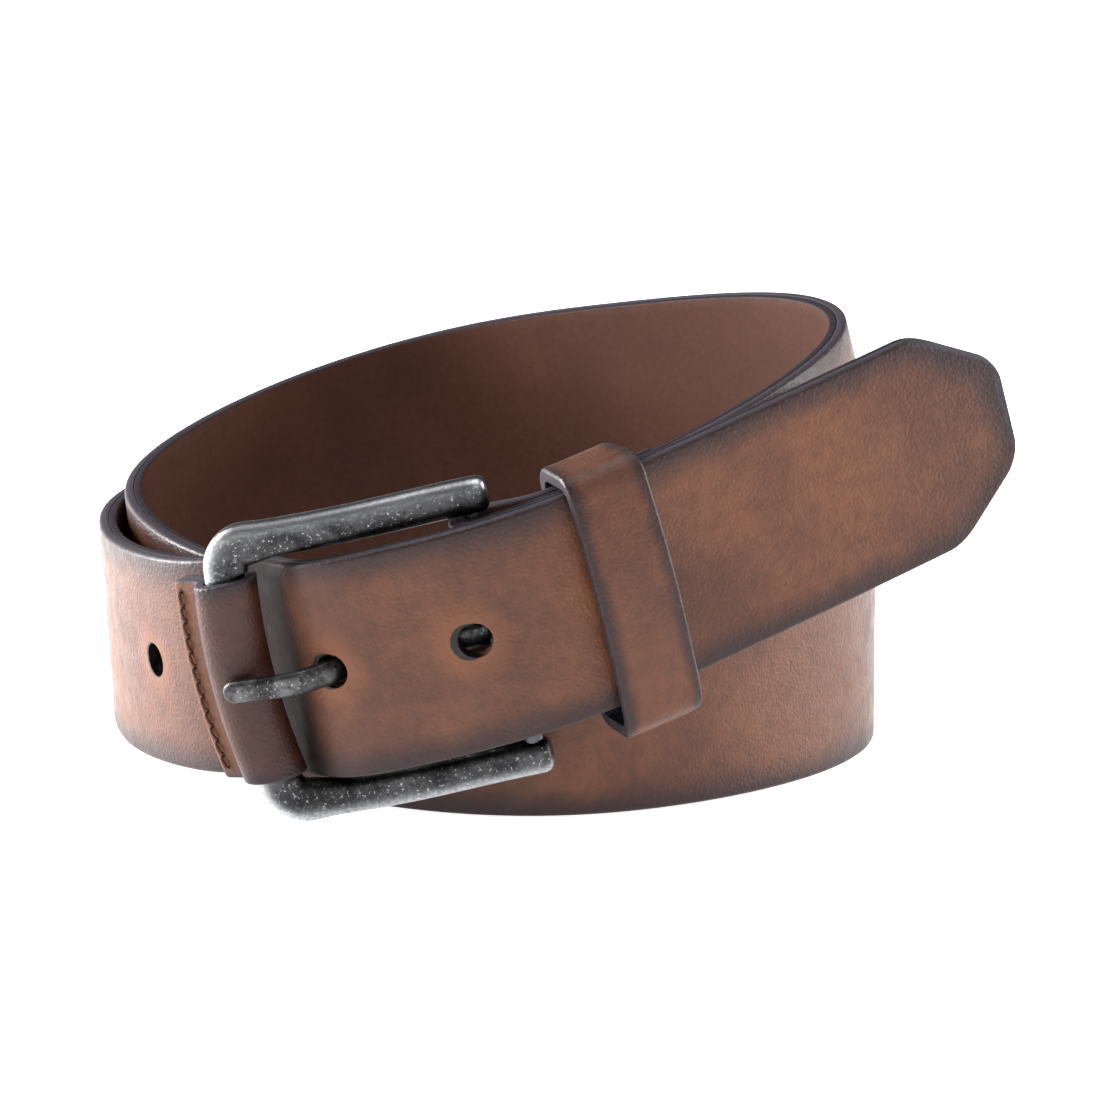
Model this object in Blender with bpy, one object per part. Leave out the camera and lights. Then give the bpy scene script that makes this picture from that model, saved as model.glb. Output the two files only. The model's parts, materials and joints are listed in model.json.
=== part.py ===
"""Leather belt, coiled in two turns and buckled, as separate solid sub-parts.

Sizes are in millimetres and degrees; MM turns millimetres into metres.
+Z is up, the belt rests on Z = 0 and the buckle faces -Y.
The strap is followed from its folded end, round the heel bar, twice round the coil, to its tip.
"""
import math

import bmesh
import bpy
import numpy as np
from mathutils import Matrix, Vector

MM = 0.001

# Strap: a grain ply outside, a smooth lining ply inside.
STRAP_WIDTH = 38.0
GRAIN_PLY = 1.7
GLUE_LINE = 0.1
LINING_PLY = 1.4
EDGE_ROUND = 0.4
STRAP_THICK = GRAIN_PLY + GLUE_LINE + LINING_PLY
LAYER_GAP = 0.3
LAYER = STRAP_THICK + LAYER_GAP
HALF_WIDTH = STRAP_WIDTH / 2.0

# Coil seen from above: a rounded ring, then steps in and out between the turns.
RING_RADIUS = 69.0
# The climb carries the upper turn over the top edge of the lower one, so it follows their sizes.
# A steeper climb or a wider strap leans further out; LEAN_RATIO is 1 at a lean of LEAN_DRAWN.
CLIMB_RISE = 0.518750
CLIMB_SIDE = math.degrees(math.asin(CLIMB_RISE * STRAP_WIDTH / RING_RADIUS))
LEAN_DRAWN = 10.85616
LEAN_RATIO = CLIMB_RISE * STRAP_WIDTH ** 2 / RING_RADIUS / LEAN_DRAWN
RING_OVAL = 0.071
RING_OVAL_AT = -51.0
RING_EGG = 0.037
RING_EGG_AT = 8.0
RING_SQUARE = 0.021
RING_SQUARE_AT = 12.7
# bearing round the coil, whole strap layers inwards, extra millimetres outwards as drawn
COIL_STEPS = (
    (-115.0, 1.0, -0.2), (-40.0, 1.0, -0.2), (-14.0, 1.0, 6.0), (6.0, 1.0, -5.0),
    (30.0, 1.0, -2.4), (60.0, 1.0, 0.2), (100.0, 1.0, 0.2), (140.0, 1.0, -0.2),
    (190.0, 1.0, -0.9), (226.0, 2.0, -3.2), (246.0, 3.0, -5.6), (302.0, 3.0, -5.3),
    (332.0, 2.0, -0.9), (360.0, 2.0, -0.5), (420.0, 0.0, 3.7), (480.0, 0.0, 6.2),
    (515.0, 0.0, 4.4), (545.0, 0.0, -1.4), (600.0, 0.0, 0.0), (760.0, 0.0, 0.0),
)
STEP_BLEND = 41
HEEL_BEARING = -84.0
TURNS = 2
CREST_BEARING = 613.0
CREST_RISE = 2.0
CREST_SPREAD = 6.0
DIP_BEARING = 597.0
DIP_DROP = 3.4
DIP_SPREAD = 6.5

# The free end leaves the coil and runs on nearly straight.
LEAVE_BEARING = 654.5
END_RADIUS = 870.0
END_LENGTH = 74.8

# The upper turn climbs to the right and a little to the back, and clears the table.
BUCKLE_LIFT = 1.1 * LEAN_RATIO
LIFT_FROM = 480.0
LIFT_TO = 610.0
CLIMB_BACK = 4.3
END_CLIMB_MORE = 0.8
END_CLIMB_SIDE = CLIMB_SIDE + END_CLIMB_MORE
END_CLIMB_BACK = 4.8
LEAN_SHARE = 0.80
LEVEL_FROM = 123.0
LEVEL_SIDE_TO = 205.0
LEVEL_BACK_TO = 301.0
RISE_SIDE_FROM = 458.0
RISE_BACK_FROM = 557.0
RISE_TO = 667.0
TABLE_BEARING = 380.0

# Tip, holes and folded end.
TIP_CLIP = 14.5
TIP_WIDTH = 18.1
TIP_ROUND = 3.0
HOLE_DIAMETER = 6.0
HOLE_PITCH = 25.4
HOLE_COUNT = 5
PRONG_HOLE = 3
PRONG_HOLE_BEFORE_LEAVE = 55.0
HOLE_REACH = 0.15
PRONG_HOLE_REACH = 0.9
FOLD_LENGTH = 33.5
FOLD_CLOSE = 13.0
SKIVE_LENGTH = 12.0
SKIVE_LEFT = 0.35
SLOT_CLEARANCE = 1.4
SLOT_PAST_BAR = 6.0
SLOT_UNDER_BAR = 7.0
SLOT_REACH = 0.12
SLOT_STEPS = 4

# Buckle.  u runs along the strap to the tip, v up the strap, n out of it.
BAR_RADIUS = 1.7
BAR_CLEARANCE = 0.25
BEND_RADIUS = BAR_RADIUS + BAR_CLEARANCE + STRAP_THICK / 2.0
BUCKLE_YAW = -8.0
BUCKLE_DROP = -1.0 * LEAN_RATIO
ARM_WIDTH = 6.2
SIDE_GAP = 1.3 * LEAN_RATIO
FRAME_HEIGHT = STRAP_WIDTH + 2.0 * (SIDE_GAP + ARM_WIDTH)
ARM_THICK = 4.8
ARM_HEEL_THICK = 5.2
ARM_PAST_BAR = 2.6
ARM_ARCH = 1.5
FRONT_BAR_WIDTH = 6.8
FRONT_BAR_THICK = 4.6
FRONT_BAR_REACH = 45.6
FRONT_BAR_LIFT = 0.5
FRONT_BAR_BOW = 2.1
CORNER_RADIUS = 4.6
CORNER_WEB = 0.7
CORNER_EASE = 0.3
WEB_LENGTH = 6.5
FRAME_SQUARENESS = 2.8
FRAME_END_SHARE = 0.84
FRONT_BLEND_FROM = 12.0
HEEL_BLEND_FROM = 9.0
FRAME_BLEND = 8.0
PIN_HOLE_CLEARANCE = 0.05
PIN_HOLE_DEPTH = 2.4
ARM_CENTRE = (FRAME_HEIGHT - ARM_WIDTH) / 2.0
OPENING_HALF = FRAME_HEIGHT / 2.0 - ARM_WIDTH

# Prong.
PRONG_WIDTH = 4.6
PRONG_THICK = 2.8
PRONG_TIP_SHARE = 0.86
PRONG_END_ROUND = 2.2
PRONG_NOSE_SHARE = 0.35
EYE_CLEARANCE = 0.2
EYE_WALL = 1.4
EYE_RADIUS = BAR_RADIUS + EYE_CLEARANCE
# The prong's line, as distance left of and height above its eye, its strap hole and the front bar.
PRONG_FROM_EYE = ((2.4, 0.3), (8.0, 1.4), (16.0, 1.7), (22.5, 1.9))
PRONG_FROM_HOLE = ((-2.6, -2.3), (0.3, 0.1), (2.9, 2.5))
PRONG_FROM_BAR = ((-10.6, 3.5), (-6.1, 3.2), (-1.6, 2.2), (2.6, 1.2))

# Leather sleeve round the front bar, its two ends sewn together as a flange.
SLEEVE_LEATHER = 1.7
SLEEVE_CLEARANCE = 0.35
SLEEVE_END_GAP = 0.95 * LEAN_RATIO
SLEEVE_LENGTH = 2.0 * (ARM_CENTRE - CORNER_RADIUS - SLEEVE_END_GAP)
SLEEVE_SHIFT = -0.1
FLANGE_LENGTH = 6.4
FLANGE_THICK = 2.0 * SLEEVE_LEATHER
FLANGE_ANGLE = 214.0
FLANGE_SPREAD = 24.0
FLANGE_ROOT = 0.9
FLANGE_CORNER = 0.5
THREAD_RADIUS = 0.32
THREAD_GAP = 0.08
THREAD_INSET = 1.7
STITCH_PITCH = 2.7
STITCH_SWAY = 0.28

# Keeper: a loose leather band round all three layers.
KEEPER_PLACE = 21.8
KEEPER_WIDTH = 13.5
KEEPER_LEATHER = 2.3
KEEPER_SIDE_CLEARANCE = 2.2 * LEAN_RATIO
KEEPER_DROP = 1.5
KEEPER_FRONT_CLEARANCE = 0.9
KEEPER_BACK_CLEARANCE = 0.6
KEEPER_BULGE = 1.3
KEEPER_CORNER = 2.4
KEEPER_EDGE = 0.35
STAPLE_RADIUS = 0.4
STAPLE_LENGTH = 8.0
STAPLE_GAP = 0.08
STAPLE_END = 0.3
STAPLE_END_SHARE = 0.55

# Facets.
COIL_STEP = 4.2
BUCKLE_STEP = 2.0
FOLD_STEP = 3.0
BEND_FACETS = 12
HOLE_FACETS = 32
SECTION_FACETS = 14
SLEEVE_FACETS = 21
FINE_BEARING = 585.0
FINE_PAST_BAR = 12.0
ARM_STATIONS = (0.0, 0.015, 0.05, 0.14, 0.26, 0.38, 0.5, 0.62, 0.72, 0.8, 0.88, 0.95)
BAR_STATIONS = (0.985, 0.8, 0.6, 0.4, 0.2, 0.0)


def clear_scene():
    for item in list(bpy.data.objects):
        bpy.data.objects.remove(item, do_unlink=True)


def smooth(value):
    value = np.clip(value, 0.0, 1.0)
    return value * value * value * (value * (6.0 * value - 15.0) + 10.0)


def unit(vector):
    return vector / np.linalg.norm(vector)


def material(name, colour, roughness, metallic):
    made = bpy.data.materials.new(name)
    made.use_nodes = True
    shader = made.node_tree.nodes["Principled BSDF"]
    shader.inputs["Base Color"].default_value = (*colour, 1.0)
    shader.inputs["Roughness"].default_value = roughness
    shader.inputs["Metallic"].default_value = metallic
    return made


def make_object(name, verts, faces, look=None):
    """One mesh object from millimetre points: flat triangles, all turned outwards."""
    mesh = bpy.data.meshes.new(name)
    mesh.from_pydata([tuple(float(c) * MM for c in v) for v in verts], [], faces)
    work = bmesh.new()
    work.from_mesh(mesh)
    bmesh.ops.recalc_face_normals(work, faces=work.faces)
    bmesh.ops.triangulate(work, faces=work.faces)
    work.to_mesh(mesh)
    work.free()
    made = bpy.data.objects.new(name, mesh)
    bpy.context.scene.collection.objects.link(made)
    if look is not None:
        made.data.materials.append(look)
    return made


def shade_smooth(made):
    for face in made.data.polygons:
        face.use_smooth = True


def combine(made, cutter, operation):
    """Apply one exact boolean to an object and drop the helper."""
    step = made.modifiers.new(operation.lower(), "BOOLEAN")
    step.operation = operation
    step.solver = "EXACT"
    step.object = cutter
    graph = bpy.context.evaluated_depsgraph_get()
    mesh = bpy.data.meshes.new_from_object(made.evaluated_get(graph))
    made.modifiers.clear()
    made.data = mesh
    bpy.data.objects.remove(cutter, do_unlink=True)


def loft(sections):
    """Skin through rings of equal point count, with flat ends."""
    count = len(sections[0])
    verts = [point for ring in sections for point in ring]
    faces = []
    for i in range(len(sections) - 1):
        for j in range(count):
            k = (j + 1) % count
            faces.append((i * count + j, i * count + k, (i + 1) * count + k, (i + 1) * count + j))
    faces.append(tuple(range(count)))
    faces.append(tuple((len(sections) - 1) * count + j for j in range(count)))
    return verts, faces


def sleeve_loft(outer, inner):
    """Skin between an outer and an inner skin, open right through."""
    count = len(outer[0])
    rows = len(outer)
    verts = [point for ring in outer for point in ring]
    verts += [point for ring in inner for point in ring]
    base = rows * count
    faces = []
    for i in range(rows - 1):
        for j in range(count):
            k = (j + 1) % count
            faces.append((i * count + j, i * count + k, (i + 1) * count + k, (i + 1) * count + j))
            faces.append((base + i * count + j, base + (i + 1) * count + j,
                          base + (i + 1) * count + k, base + i * count + k))
    for row in (0, rows - 1):
        for j in range(count):
            k = (j + 1) % count
            faces.append((row * count + j, row * count + k,
                          base + row * count + k, base + row * count + j))
    return verts, faces


# ---------------------------------------------------------------- the coil

def ring_point(bearing):
    turn = math.radians(bearing)
    oval = RING_OVAL * math.cos(2.0 * (turn - math.radians(RING_OVAL_AT)))
    egg = RING_EGG * math.cos(3.0 * (turn - math.radians(RING_EGG_AT)))
    square = RING_SQUARE * math.cos(4.0 * (turn - math.radians(RING_SQUARE_AT)))
    radius = RING_RADIUS * (1.0 + oval + egg + square)
    return np.array([radius * math.cos(turn), radius * math.sin(turn)])


def layer_offsets(grid):
    """Distance of the strap outside the ring at each whole bearing of the grid."""
    places = [step[0] for step in COIL_STEPS]
    values = [step[2] * LEAN_RATIO - step[1] * LAYER for step in COIL_STEPS]
    offsets = np.interp(grid, places, values)
    kernel = np.ones(STEP_BLEND) / STEP_BLEND
    for _ in range(2):
        padded = np.pad(offsets, STEP_BLEND // 2, mode="edge")
        offsets = np.convolve(padded, kernel, "valid")
    crest = CREST_RISE * np.exp(-0.5 * ((grid - CREST_BEARING) / CREST_SPREAD) ** 2)
    dip = DIP_DROP * np.exp(-0.5 * ((grid - DIP_BEARING) / DIP_SPREAD) ** 2)
    return offsets + crest - dip


def climb_angles(bearings):
    """Side and back climb of the strap plane, in radians, along the coil."""
    side_down = smooth((bearings - LEVEL_FROM) / (LEVEL_SIDE_TO - LEVEL_FROM))
    back_down = smooth((bearings - LEVEL_FROM) / (LEVEL_BACK_TO - LEVEL_FROM))
    side_up = smooth((bearings - RISE_SIDE_FROM) / (RISE_TO - RISE_SIDE_FROM))
    back_up = smooth((bearings - RISE_BACK_FROM) / (RISE_TO - RISE_BACK_FROM))
    side = CLIMB_SIDE * (1.0 - side_down) + END_CLIMB_SIDE * side_up
    back = CLIMB_BACK * (1.0 - back_down) + END_CLIMB_BACK * back_up
    return np.radians(side), np.radians(back)


def raised_share(bearings):
    """How far each place belongs to the upper turn, from 0 to 1."""
    down = smooth((bearings - LEVEL_FROM) / (LEVEL_BACK_TO - LEVEL_FROM))
    up = smooth((bearings - LIFT_FROM) / (LIFT_TO - LIFT_FROM))
    return 1.0 - down + up


def upright(side, back):
    return np.stack([-np.sin(side) * np.cos(back), -np.sin(back),
                     np.cos(side) * np.cos(back)], -1)


def coil_plan():
    """Plan points and bearings of the strap from the heel bar to the tip."""
    grid = np.arange(-200.0, 801.0, 1.0)
    offsets = layer_offsets(grid)
    bearings = np.append(np.arange(HEEL_BEARING - 10.0, LEAVE_BEARING, 1.0), LEAVE_BEARING)
    points = []
    for bearing in bearings:
        ahead = unit(ring_point(bearing + 0.5) - ring_point(bearing - 0.5))
        outward = np.array([ahead[1], -ahead[0]])
        points.append(ring_point(bearing) + outward * np.interp(bearing, grid, offsets))
    heading = math.atan2(*(points[-1] - points[-2])[::-1])
    steps = int(END_LENGTH)
    for i in range(steps + 3):
        turn = heading + (i + 0.5) / END_RADIUS
        points.append(points[-1] + np.array([math.cos(turn), math.sin(turn)]))
    tail = LEAVE_BEARING + 0.8 * np.arange(1, steps + 4)
    return np.array(points), np.append(bearings, tail)


class Path:
    """The strap's lower edge, its width direction and its outward direction by length."""

    def __init__(self):
        plan, bearings = coil_plan()
        side, back = climb_angles(bearings)
        plane = upright(side, back)
        step = np.diff(plan, axis=0)
        mid = (plane[1:] + plane[:-1]) / 2.0
        rise = -(mid[:, 0] * step[:, 0] + mid[:, 1] * step[:, 1]) / mid[:, 2]
        height = np.concatenate([[0.0], np.cumsum(rise)])
        height -= np.interp(TABLE_BEARING, bearings, height)
        height = np.maximum(height, 0.0) + BUCKLE_LIFT * raised_share(bearings)
        self.points = np.column_stack([plan, height])
        self.wide = upright(side * LEAN_SHARE, back)
        length = np.linalg.norm(np.diff(self.points, axis=0), axis=1)
        self.length = np.concatenate([[0.0], np.cumsum(length)])
        self.length -= np.interp(HEEL_BEARING, bearings, self.length)
        self.bearings = bearings

    def at_bearing(self, bearing):
        return float(np.interp(bearing, self.bearings, self.length))

    def edge(self, length):
        return np.array([np.interp(length, self.length, self.points[:, k]) for k in range(3)])

    def width_way(self, length):
        return unit(np.array([np.interp(length, self.length, self.wide[:, k]) for k in range(3)]))

    def along(self, length):
        return unit(self.edge(length + 0.8) - self.edge(length - 0.8))

    def outward(self, length):
        return unit(np.cross(self.along(length), self.width_way(length)))

    def middle(self, length):
        return self.edge(length) + self.width_way(length) * HALF_WIDTH


PATH = Path()
LEAVE_AT = PATH.at_bearing(LEAVE_BEARING)
STRAP_END = LEAVE_AT + END_LENGTH
PRONG_HOLE_AT = LEAVE_AT - PRONG_HOLE_BEFORE_LEAVE
TOP_HEEL_AT = PATH.at_bearing(HEEL_BEARING + 360.0 * TURNS)


def skive_share(to_end):
    return SKIVE_LEFT + (1.0 - SKIVE_LEFT) * min(1.0, to_end / SKIVE_LENGTH)


def folded_point(length):
    """Edge of the folded-back end, this far from the heel bar."""
    spread = 1.0 - smooth(length / FOLD_CLOSE)
    drop = LAYER + (2.0 * BEND_RADIUS - LAYER) * float(spread)
    return PATH.edge(length) - PATH.outward(length) * drop


def fold_stations():
    """Edge point, width direction and thickness share of the folded-back end."""
    stations = []
    count = int(round(FOLD_LENGTH / FOLD_STEP))
    for i in range(count):
        length = FOLD_LENGTH * (1.0 - i / count)
        share = skive_share(FOLD_LENGTH - length)
        stations.append((folded_point(length), PATH.width_way(length), share, 0.0))
    return stations


def bend_stations():
    """The half turn round the heel bar."""
    stations = []
    out = PATH.outward(0.0)
    ahead = PATH.along(0.0)
    wide = PATH.width_way(0.0)
    centre = PATH.edge(0.0) - out * BEND_RADIUS
    for i in range(BEND_FACETS):
        turn = math.pi * i / BEND_FACETS
        point = centre - BEND_RADIUS * (out * math.cos(turn) + ahead * math.sin(turn))
        stations.append((point, wide, 1.0, 0.0))
    return stations


def tip_inset(to_end):
    """How far each edge of the tip is cut in, with both corners eased."""
    slope = (STRAP_WIDTH - TIP_WIDTH) / 2.0 / TIP_CLIP
    short = TIP_CLIP - to_end
    if short <= -TIP_ROUND:
        inset = 0.0
    elif short < TIP_ROUND:
        inset = slope * (short + TIP_ROUND) ** 2 / (4.0 * TIP_ROUND)
    else:
        inset = slope * short
    if to_end < TIP_ROUND:
        inset += TIP_ROUND - math.sqrt(TIP_ROUND ** 2 - (TIP_ROUND - to_end) ** 2)
    return inset


def coil_lengths():
    """Lengths of the strap stations, closer together through the buckle and at the tip."""
    fine_from = PATH.at_bearing(FINE_BEARING)
    lengths = []
    length = 0.0
    while length < STRAP_END - TIP_CLIP - 2.0 * TIP_ROUND:
        lengths.append(length)
        fine = fine_from < length < TOP_HEEL_AT or length < FINE_PAST_BAR
        length += BUCKLE_STEP if fine else COIL_STEP
    start = lengths[-1] + BUCKLE_STEP
    count = int((STRAP_END - TIP_ROUND - start) / BUCKLE_STEP)
    lengths += [start + (STRAP_END - TIP_ROUND - start) * i / count for i in range(count)]
    for i in range(7):
        lengths.append(STRAP_END - TIP_ROUND * (1.0 - math.sin(math.pi / 2.0 * i / 6.0)))
    return lengths


def coil_stations():
    stations = []
    for length in coil_lengths():
        inset = tip_inset(STRAP_END - length)
        stations.append((PATH.edge(length), PATH.width_way(length), 1.0, inset))
    return stations


def strap_frames(stations):
    """Add the outward direction of every station."""
    frames = []
    last = len(stations) - 1
    for i, (point, wide, share, inset) in enumerate(stations):
        before = stations[max(i - 1, 0)][0]
        after = stations[min(i + 1, last)][0]
        out = unit(np.cross(unit(after - before), wide))
        frames.append((point, wide, out, share, inset))
    return frames


def ply_ring(frame, inner, outer, round_outer):
    """Cross-section of one ply; heights are measured from the lining face."""
    point, wide, out, share, inset = frame
    low = inset
    high = STRAP_WIDTH - inset
    near = -STRAP_THICK / 2.0 + share * inner
    far = -STRAP_THICK / 2.0 + share * outer
    ease = EDGE_ROUND * share
    if round_outer:
        shape = [(low, near), (low, far - ease), (low + 0.3 * ease, far - 0.3 * ease),
                 (low + ease, far), (high - ease, far), (high - 0.3 * ease, far - 0.3 * ease),
                 (high, far - ease), (high, near)]
    else:
        shape = [(low + ease, near), (low, near + ease), (low, far), (high, far),
                 (high, near + ease), (high - ease, near)]
    return [point + wide * across + out * up for across, up in shape]


def ply(name, frames, inner, outer, round_outer, look):
    sections = [ply_ring(frame, inner, outer, round_outer) for frame in frames]
    verts, faces = loft(sections)
    return make_object(name, verts, faces, look)


def slot_cutter():
    """A bent bar that clears the prong's eye out of the folded strap."""
    stations = []
    for i in range(SLOT_STEPS):
        length = SLOT_UNDER_BAR * (1.0 - i / SLOT_STEPS)
        stations.append((folded_point(length), PATH.width_way(length), 1.0, 0.0))
    stations += bend_stations()
    for i in range(SLOT_STEPS + 1):
        length = SLOT_PAST_BAR * i / SLOT_STEPS
        stations.append((PATH.edge(length), PATH.width_way(length), 1.0, 0.0))
    half = PRONG_WIDTH / 2.0 + SLOT_CLEARANCE
    middle = HALF_WIDTH + PRONG_SIDE
    sections = []
    for point, wide, out, _, _ in strap_frames(stations):
        ring = []
        for across, up in ((-half, -1.0), (-half, 1.0), (half, 1.0), (half, -1.0)):
            height = up * (STRAP_THICK / 2.0 + SLOT_REACH)
            ring.append(point + wide * (middle + across) + out * height)
        sections.append(ring)
    return loft(sections)


def hole_cutter(length, reach):
    """A round punch through the strap only."""
    centre = PATH.middle(length)
    out = PATH.outward(length)
    ahead = PATH.along(length)
    wide = unit(np.cross(out, ahead))
    sections = []
    for side in (-1.0, 1.0):
        ring = []
        for i in range(HOLE_FACETS):
            turn = 2.0 * math.pi * i / HOLE_FACETS
            radial = ahead * math.cos(turn) + wide * math.sin(turn)
            height = side * (STRAP_THICK / 2.0 + reach)
            ring.append(centre + radial * HOLE_DIAMETER / 2.0 + out * height)
        sections.append(ring)
    return loft(sections)


def hole_lengths():
    return [PRONG_HOLE_AT + HOLE_PITCH * (PRONG_HOLE - number)
            for number in range(1, HOLE_COUNT + 1)]


def punch(made):
    """Cut the buckle slot and every hole with one set of punches."""
    punches = [slot_cutter()]
    for number, length in enumerate(hole_lengths(), start=1):
        reach = PRONG_HOLE_REACH if number == PRONG_HOLE else HOLE_REACH
        punches.append(hole_cutter(length, reach))
    verts = []
    faces = []
    for points, sides in punches:
        base = len(verts)
        verts += points
        faces += [tuple(base + i for i in side) for side in sides]
    combine(made, make_object("punches", verts, faces), "DIFFERENCE")


def build_strap():
    frames = strap_frames(fold_stations() + bend_stations() + coil_stations())
    grain_look = material("grain_leather", (0.20, 0.085, 0.048), 0.42, 0.0)
    lining_look = material("lining_leather", (0.075, 0.027, 0.017), 0.5, 0.0)
    grain = ply("strap_grain", frames, LINING_PLY + GLUE_LINE, STRAP_THICK, True, grain_look)
    lining = ply("strap_lining", frames, 0.0, LINING_PLY, False, lining_look)
    punch(grain)
    punch(lining)
    shade_smooth(grain)
    shade_smooth(lining)
    return grain, lining


# ---------------------------------------------------------------- the buckle

def buckle_axes():
    """Origin on the heel bar and the buckle's own u, v, n directions."""
    out = PATH.outward(0.0)
    wide = PATH.width_way(0.0)
    origin = PATH.middle(0.0) - out * BEND_RADIUS
    turn = Matrix.Rotation(math.radians(BUCKLE_YAW), 3, Vector(wide))
    facing = np.array(turn @ Vector(out))
    ahead = unit(np.cross(wide, facing))
    return origin, ahead, wide, facing


HEEL, ALONG_BUCKLE, UP_BUCKLE, OUT_OF_BUCKLE = buckle_axes()
TO_PRONG_HOLE = PATH.middle(PRONG_HOLE_AT) - HEEL
PRONG_SIDE = float(np.dot(TO_PRONG_HOLE, UP_BUCKLE))


def place(u, v, n):
    return HEEL + ALONG_BUCKLE * u + UP_BUCKLE * v + OUT_OF_BUCKLE * n


def bow(v):
    """How far the front bar falls back from its crown at height v off its middle."""
    return FRONT_BAR_BOW * (v / (FRAME_HEIGHT / 2.0 - CORNER_RADIUS)) ** 2


def frame_line():
    """Centre line of the cast frame as u, v, direction and web share."""
    line = []
    corner_v = ARM_CENTRE - CORNER_RADIUS
    front_u = -FRONT_BAR_REACH + bow(corner_v)
    corner_u = front_u + CORNER_RADIUS
    arm = corner_u - ARM_PAST_BAR
    for share in ARM_STATIONS:
        line.append((ARM_PAST_BAR + arm * share, ARM_CENTRE))
    for i in range(9):
        turn = math.pi / 2.0 * i / 8.0
        line.append((corner_u - CORNER_RADIUS * math.sin(turn),
                     corner_v + CORNER_RADIUS * math.cos(turn)))
    line += [(-FRONT_BAR_REACH + bow(corner_v * s), corner_v * s) for s in BAR_STATIONS]
    mirrored = [(u, -v) for u, v in reversed(line[:-1])]
    return line + mirrored


def arm_height(u):
    """Height of the frame's centre out of the buckle plane: a shallow arch."""
    reach = -u / FRONT_BAR_REACH
    if reach <= 0.0:
        return 0.0
    return ARM_ARCH * math.sin(math.pi * min(reach, 1.0)) ** 2 + FRONT_BAR_LIFT * reach


def frame_size(u, v):
    """Inner half width, outer half width and thickness of the frame at a place."""
    front = smooth((-u - FRONT_BAR_REACH + FRONT_BLEND_FROM) / FRAME_BLEND)
    outer = ARM_WIDTH / 2.0 + (FRONT_BAR_WIDTH - ARM_WIDTH) / 2.0 * float(front)
    corner = math.hypot(u + FRONT_BAR_REACH - CORNER_RADIUS, abs(v) - ARM_CENTRE + CORNER_RADIUS)
    web = CORNER_WEB * max(0.0, 1.0 - (corner - CORNER_RADIUS) / WEB_LENGTH) ** 2
    if abs(v) < ARM_CENTRE - CORNER_RADIUS:
        web = 0.0
    heel = float(smooth((u + HEEL_BLEND_FROM) / FRAME_BLEND))
    thick = FRONT_BAR_THICK + (ARM_THICK - FRONT_BAR_THICK) * (1.0 - float(front))
    inner = min(outer + min(web, CORNER_WEB), CORNER_RADIUS - CORNER_EASE)
    return inner, outer, thick + (ARM_HEEL_THICK - ARM_THICK) * heel


def oval_point(half_in, half_out, half_high, index):
    """Point of a squared oval section: across (positive inwards) and up."""
    turn = 2.0 * math.pi * (index + 0.5) / SECTION_FACETS
    power = 2.0 / FRAME_SQUARENESS
    across = math.copysign(abs(math.cos(turn)) ** power, math.cos(turn))
    up = math.copysign(abs(math.sin(turn)) ** power, math.sin(turn))
    return across * (half_in if across > 0.0 else half_out), up * half_high


def build_frame():
    look = material("gunmetal_cast", (0.16, 0.16, 0.165), 0.38, 1.0)
    line = frame_line()
    last = len(line) - 1
    sections = []
    for i, (u, v) in enumerate(line):
        before = line[max(i - 1, 0)]
        after = line[min(i + 1, last)]
        du, dv = after[0] - before[0], after[1] - before[1]
        size = math.hypot(du, dv)
        inward = (-dv / size, du / size)
        half_in, half_out, thick = frame_size(u, v)
        ease = FRAME_END_SHARE if i in (0, last) else 1.0
        ring = []
        for j in range(SECTION_FACETS):
            across, up = oval_point(half_in * ease, half_out * ease, thick / 2.0 * ease, j)
            ring.append(place(u + inward[0] * across, v + inward[1] * across + BUCKLE_DROP,
                              arm_height(u) + up))
        sections.append(ring)
    verts, faces = loft(sections)
    made = make_object("buckle_frame", verts, faces, look)
    reach = OPENING_HALF + PIN_HOLE_DEPTH
    combine(made, round_bar("pin_cutter", BAR_RADIUS + PIN_HOLE_CLEARANCE, BUCKLE_DROP - reach,
                            BUCKLE_DROP + reach), "DIFFERENCE")
    shade_smooth(made)
    return made


def round_bar(name, radius, low, high, look=None):
    """A bar along v through the heel bar's place."""
    sections = []
    for v in (low, high):
        ring = []
        for i in range(HOLE_FACETS):
            turn = 2.0 * math.pi * i / HOLE_FACETS
            ring.append(place(radius * math.cos(turn), v, radius * math.sin(turn)))
        sections.append(ring)
    verts, faces = loft(sections)
    return make_object(name, verts, faces, look)


def build_heel_bar():
    look = material("steel_bar", (0.30, 0.30, 0.31), 0.35, 1.0)
    reach = OPENING_HALF + PIN_HOLE_DEPTH - 4.0 * PIN_HOLE_CLEARANCE
    made = round_bar("heel_bar", BAR_RADIUS, BUCKLE_DROP - reach, BUCKLE_DROP + reach, look)
    shade_smooth(made)
    return made


def curve_through(points, per_span):
    """Smooth line through a list of points (Catmull-Rom)."""
    points = [np.array(p) for p in points]
    padded = [2 * points[0] - points[1]] + points + [2 * points[-1] - points[-2]]
    line = []
    for i in range(1, len(padded) - 2):
        a, b, c, d = padded[i - 1:i + 3]
        for j in range(per_span):
            t = j / per_span
            line.append(0.5 * (2 * b + (c - a) * t + (2 * a - 5 * b + 4 * c - d) * t * t
                               + (3 * b - a - 3 * c + d) * t ** 3))
    line.append(points[-1])
    return line


def prong_bends():
    """The prong's line in the buckle's u and n: out of its eye, up its hole, over the front bar."""
    hole_u = float(np.dot(TO_PRONG_HOLE, ALONG_BUCKLE))
    hole_n = float(np.dot(TO_PRONG_HOLE, OUT_OF_BUCKLE))
    crown = FRONT_BAR_LIFT + FRONT_BAR_THICK / 2.0 + SLEEVE_CLEARANCE + SLEEVE_LEATHER
    bends = [(-left, up) for left, up in PRONG_FROM_EYE]
    bends += [(hole_u - left, hole_n + up) for left, up in PRONG_FROM_HOLE]
    bends += [(-FRONT_BAR_REACH - left, crown + up) for left, up in PRONG_FROM_BAR]
    return bends


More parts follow.
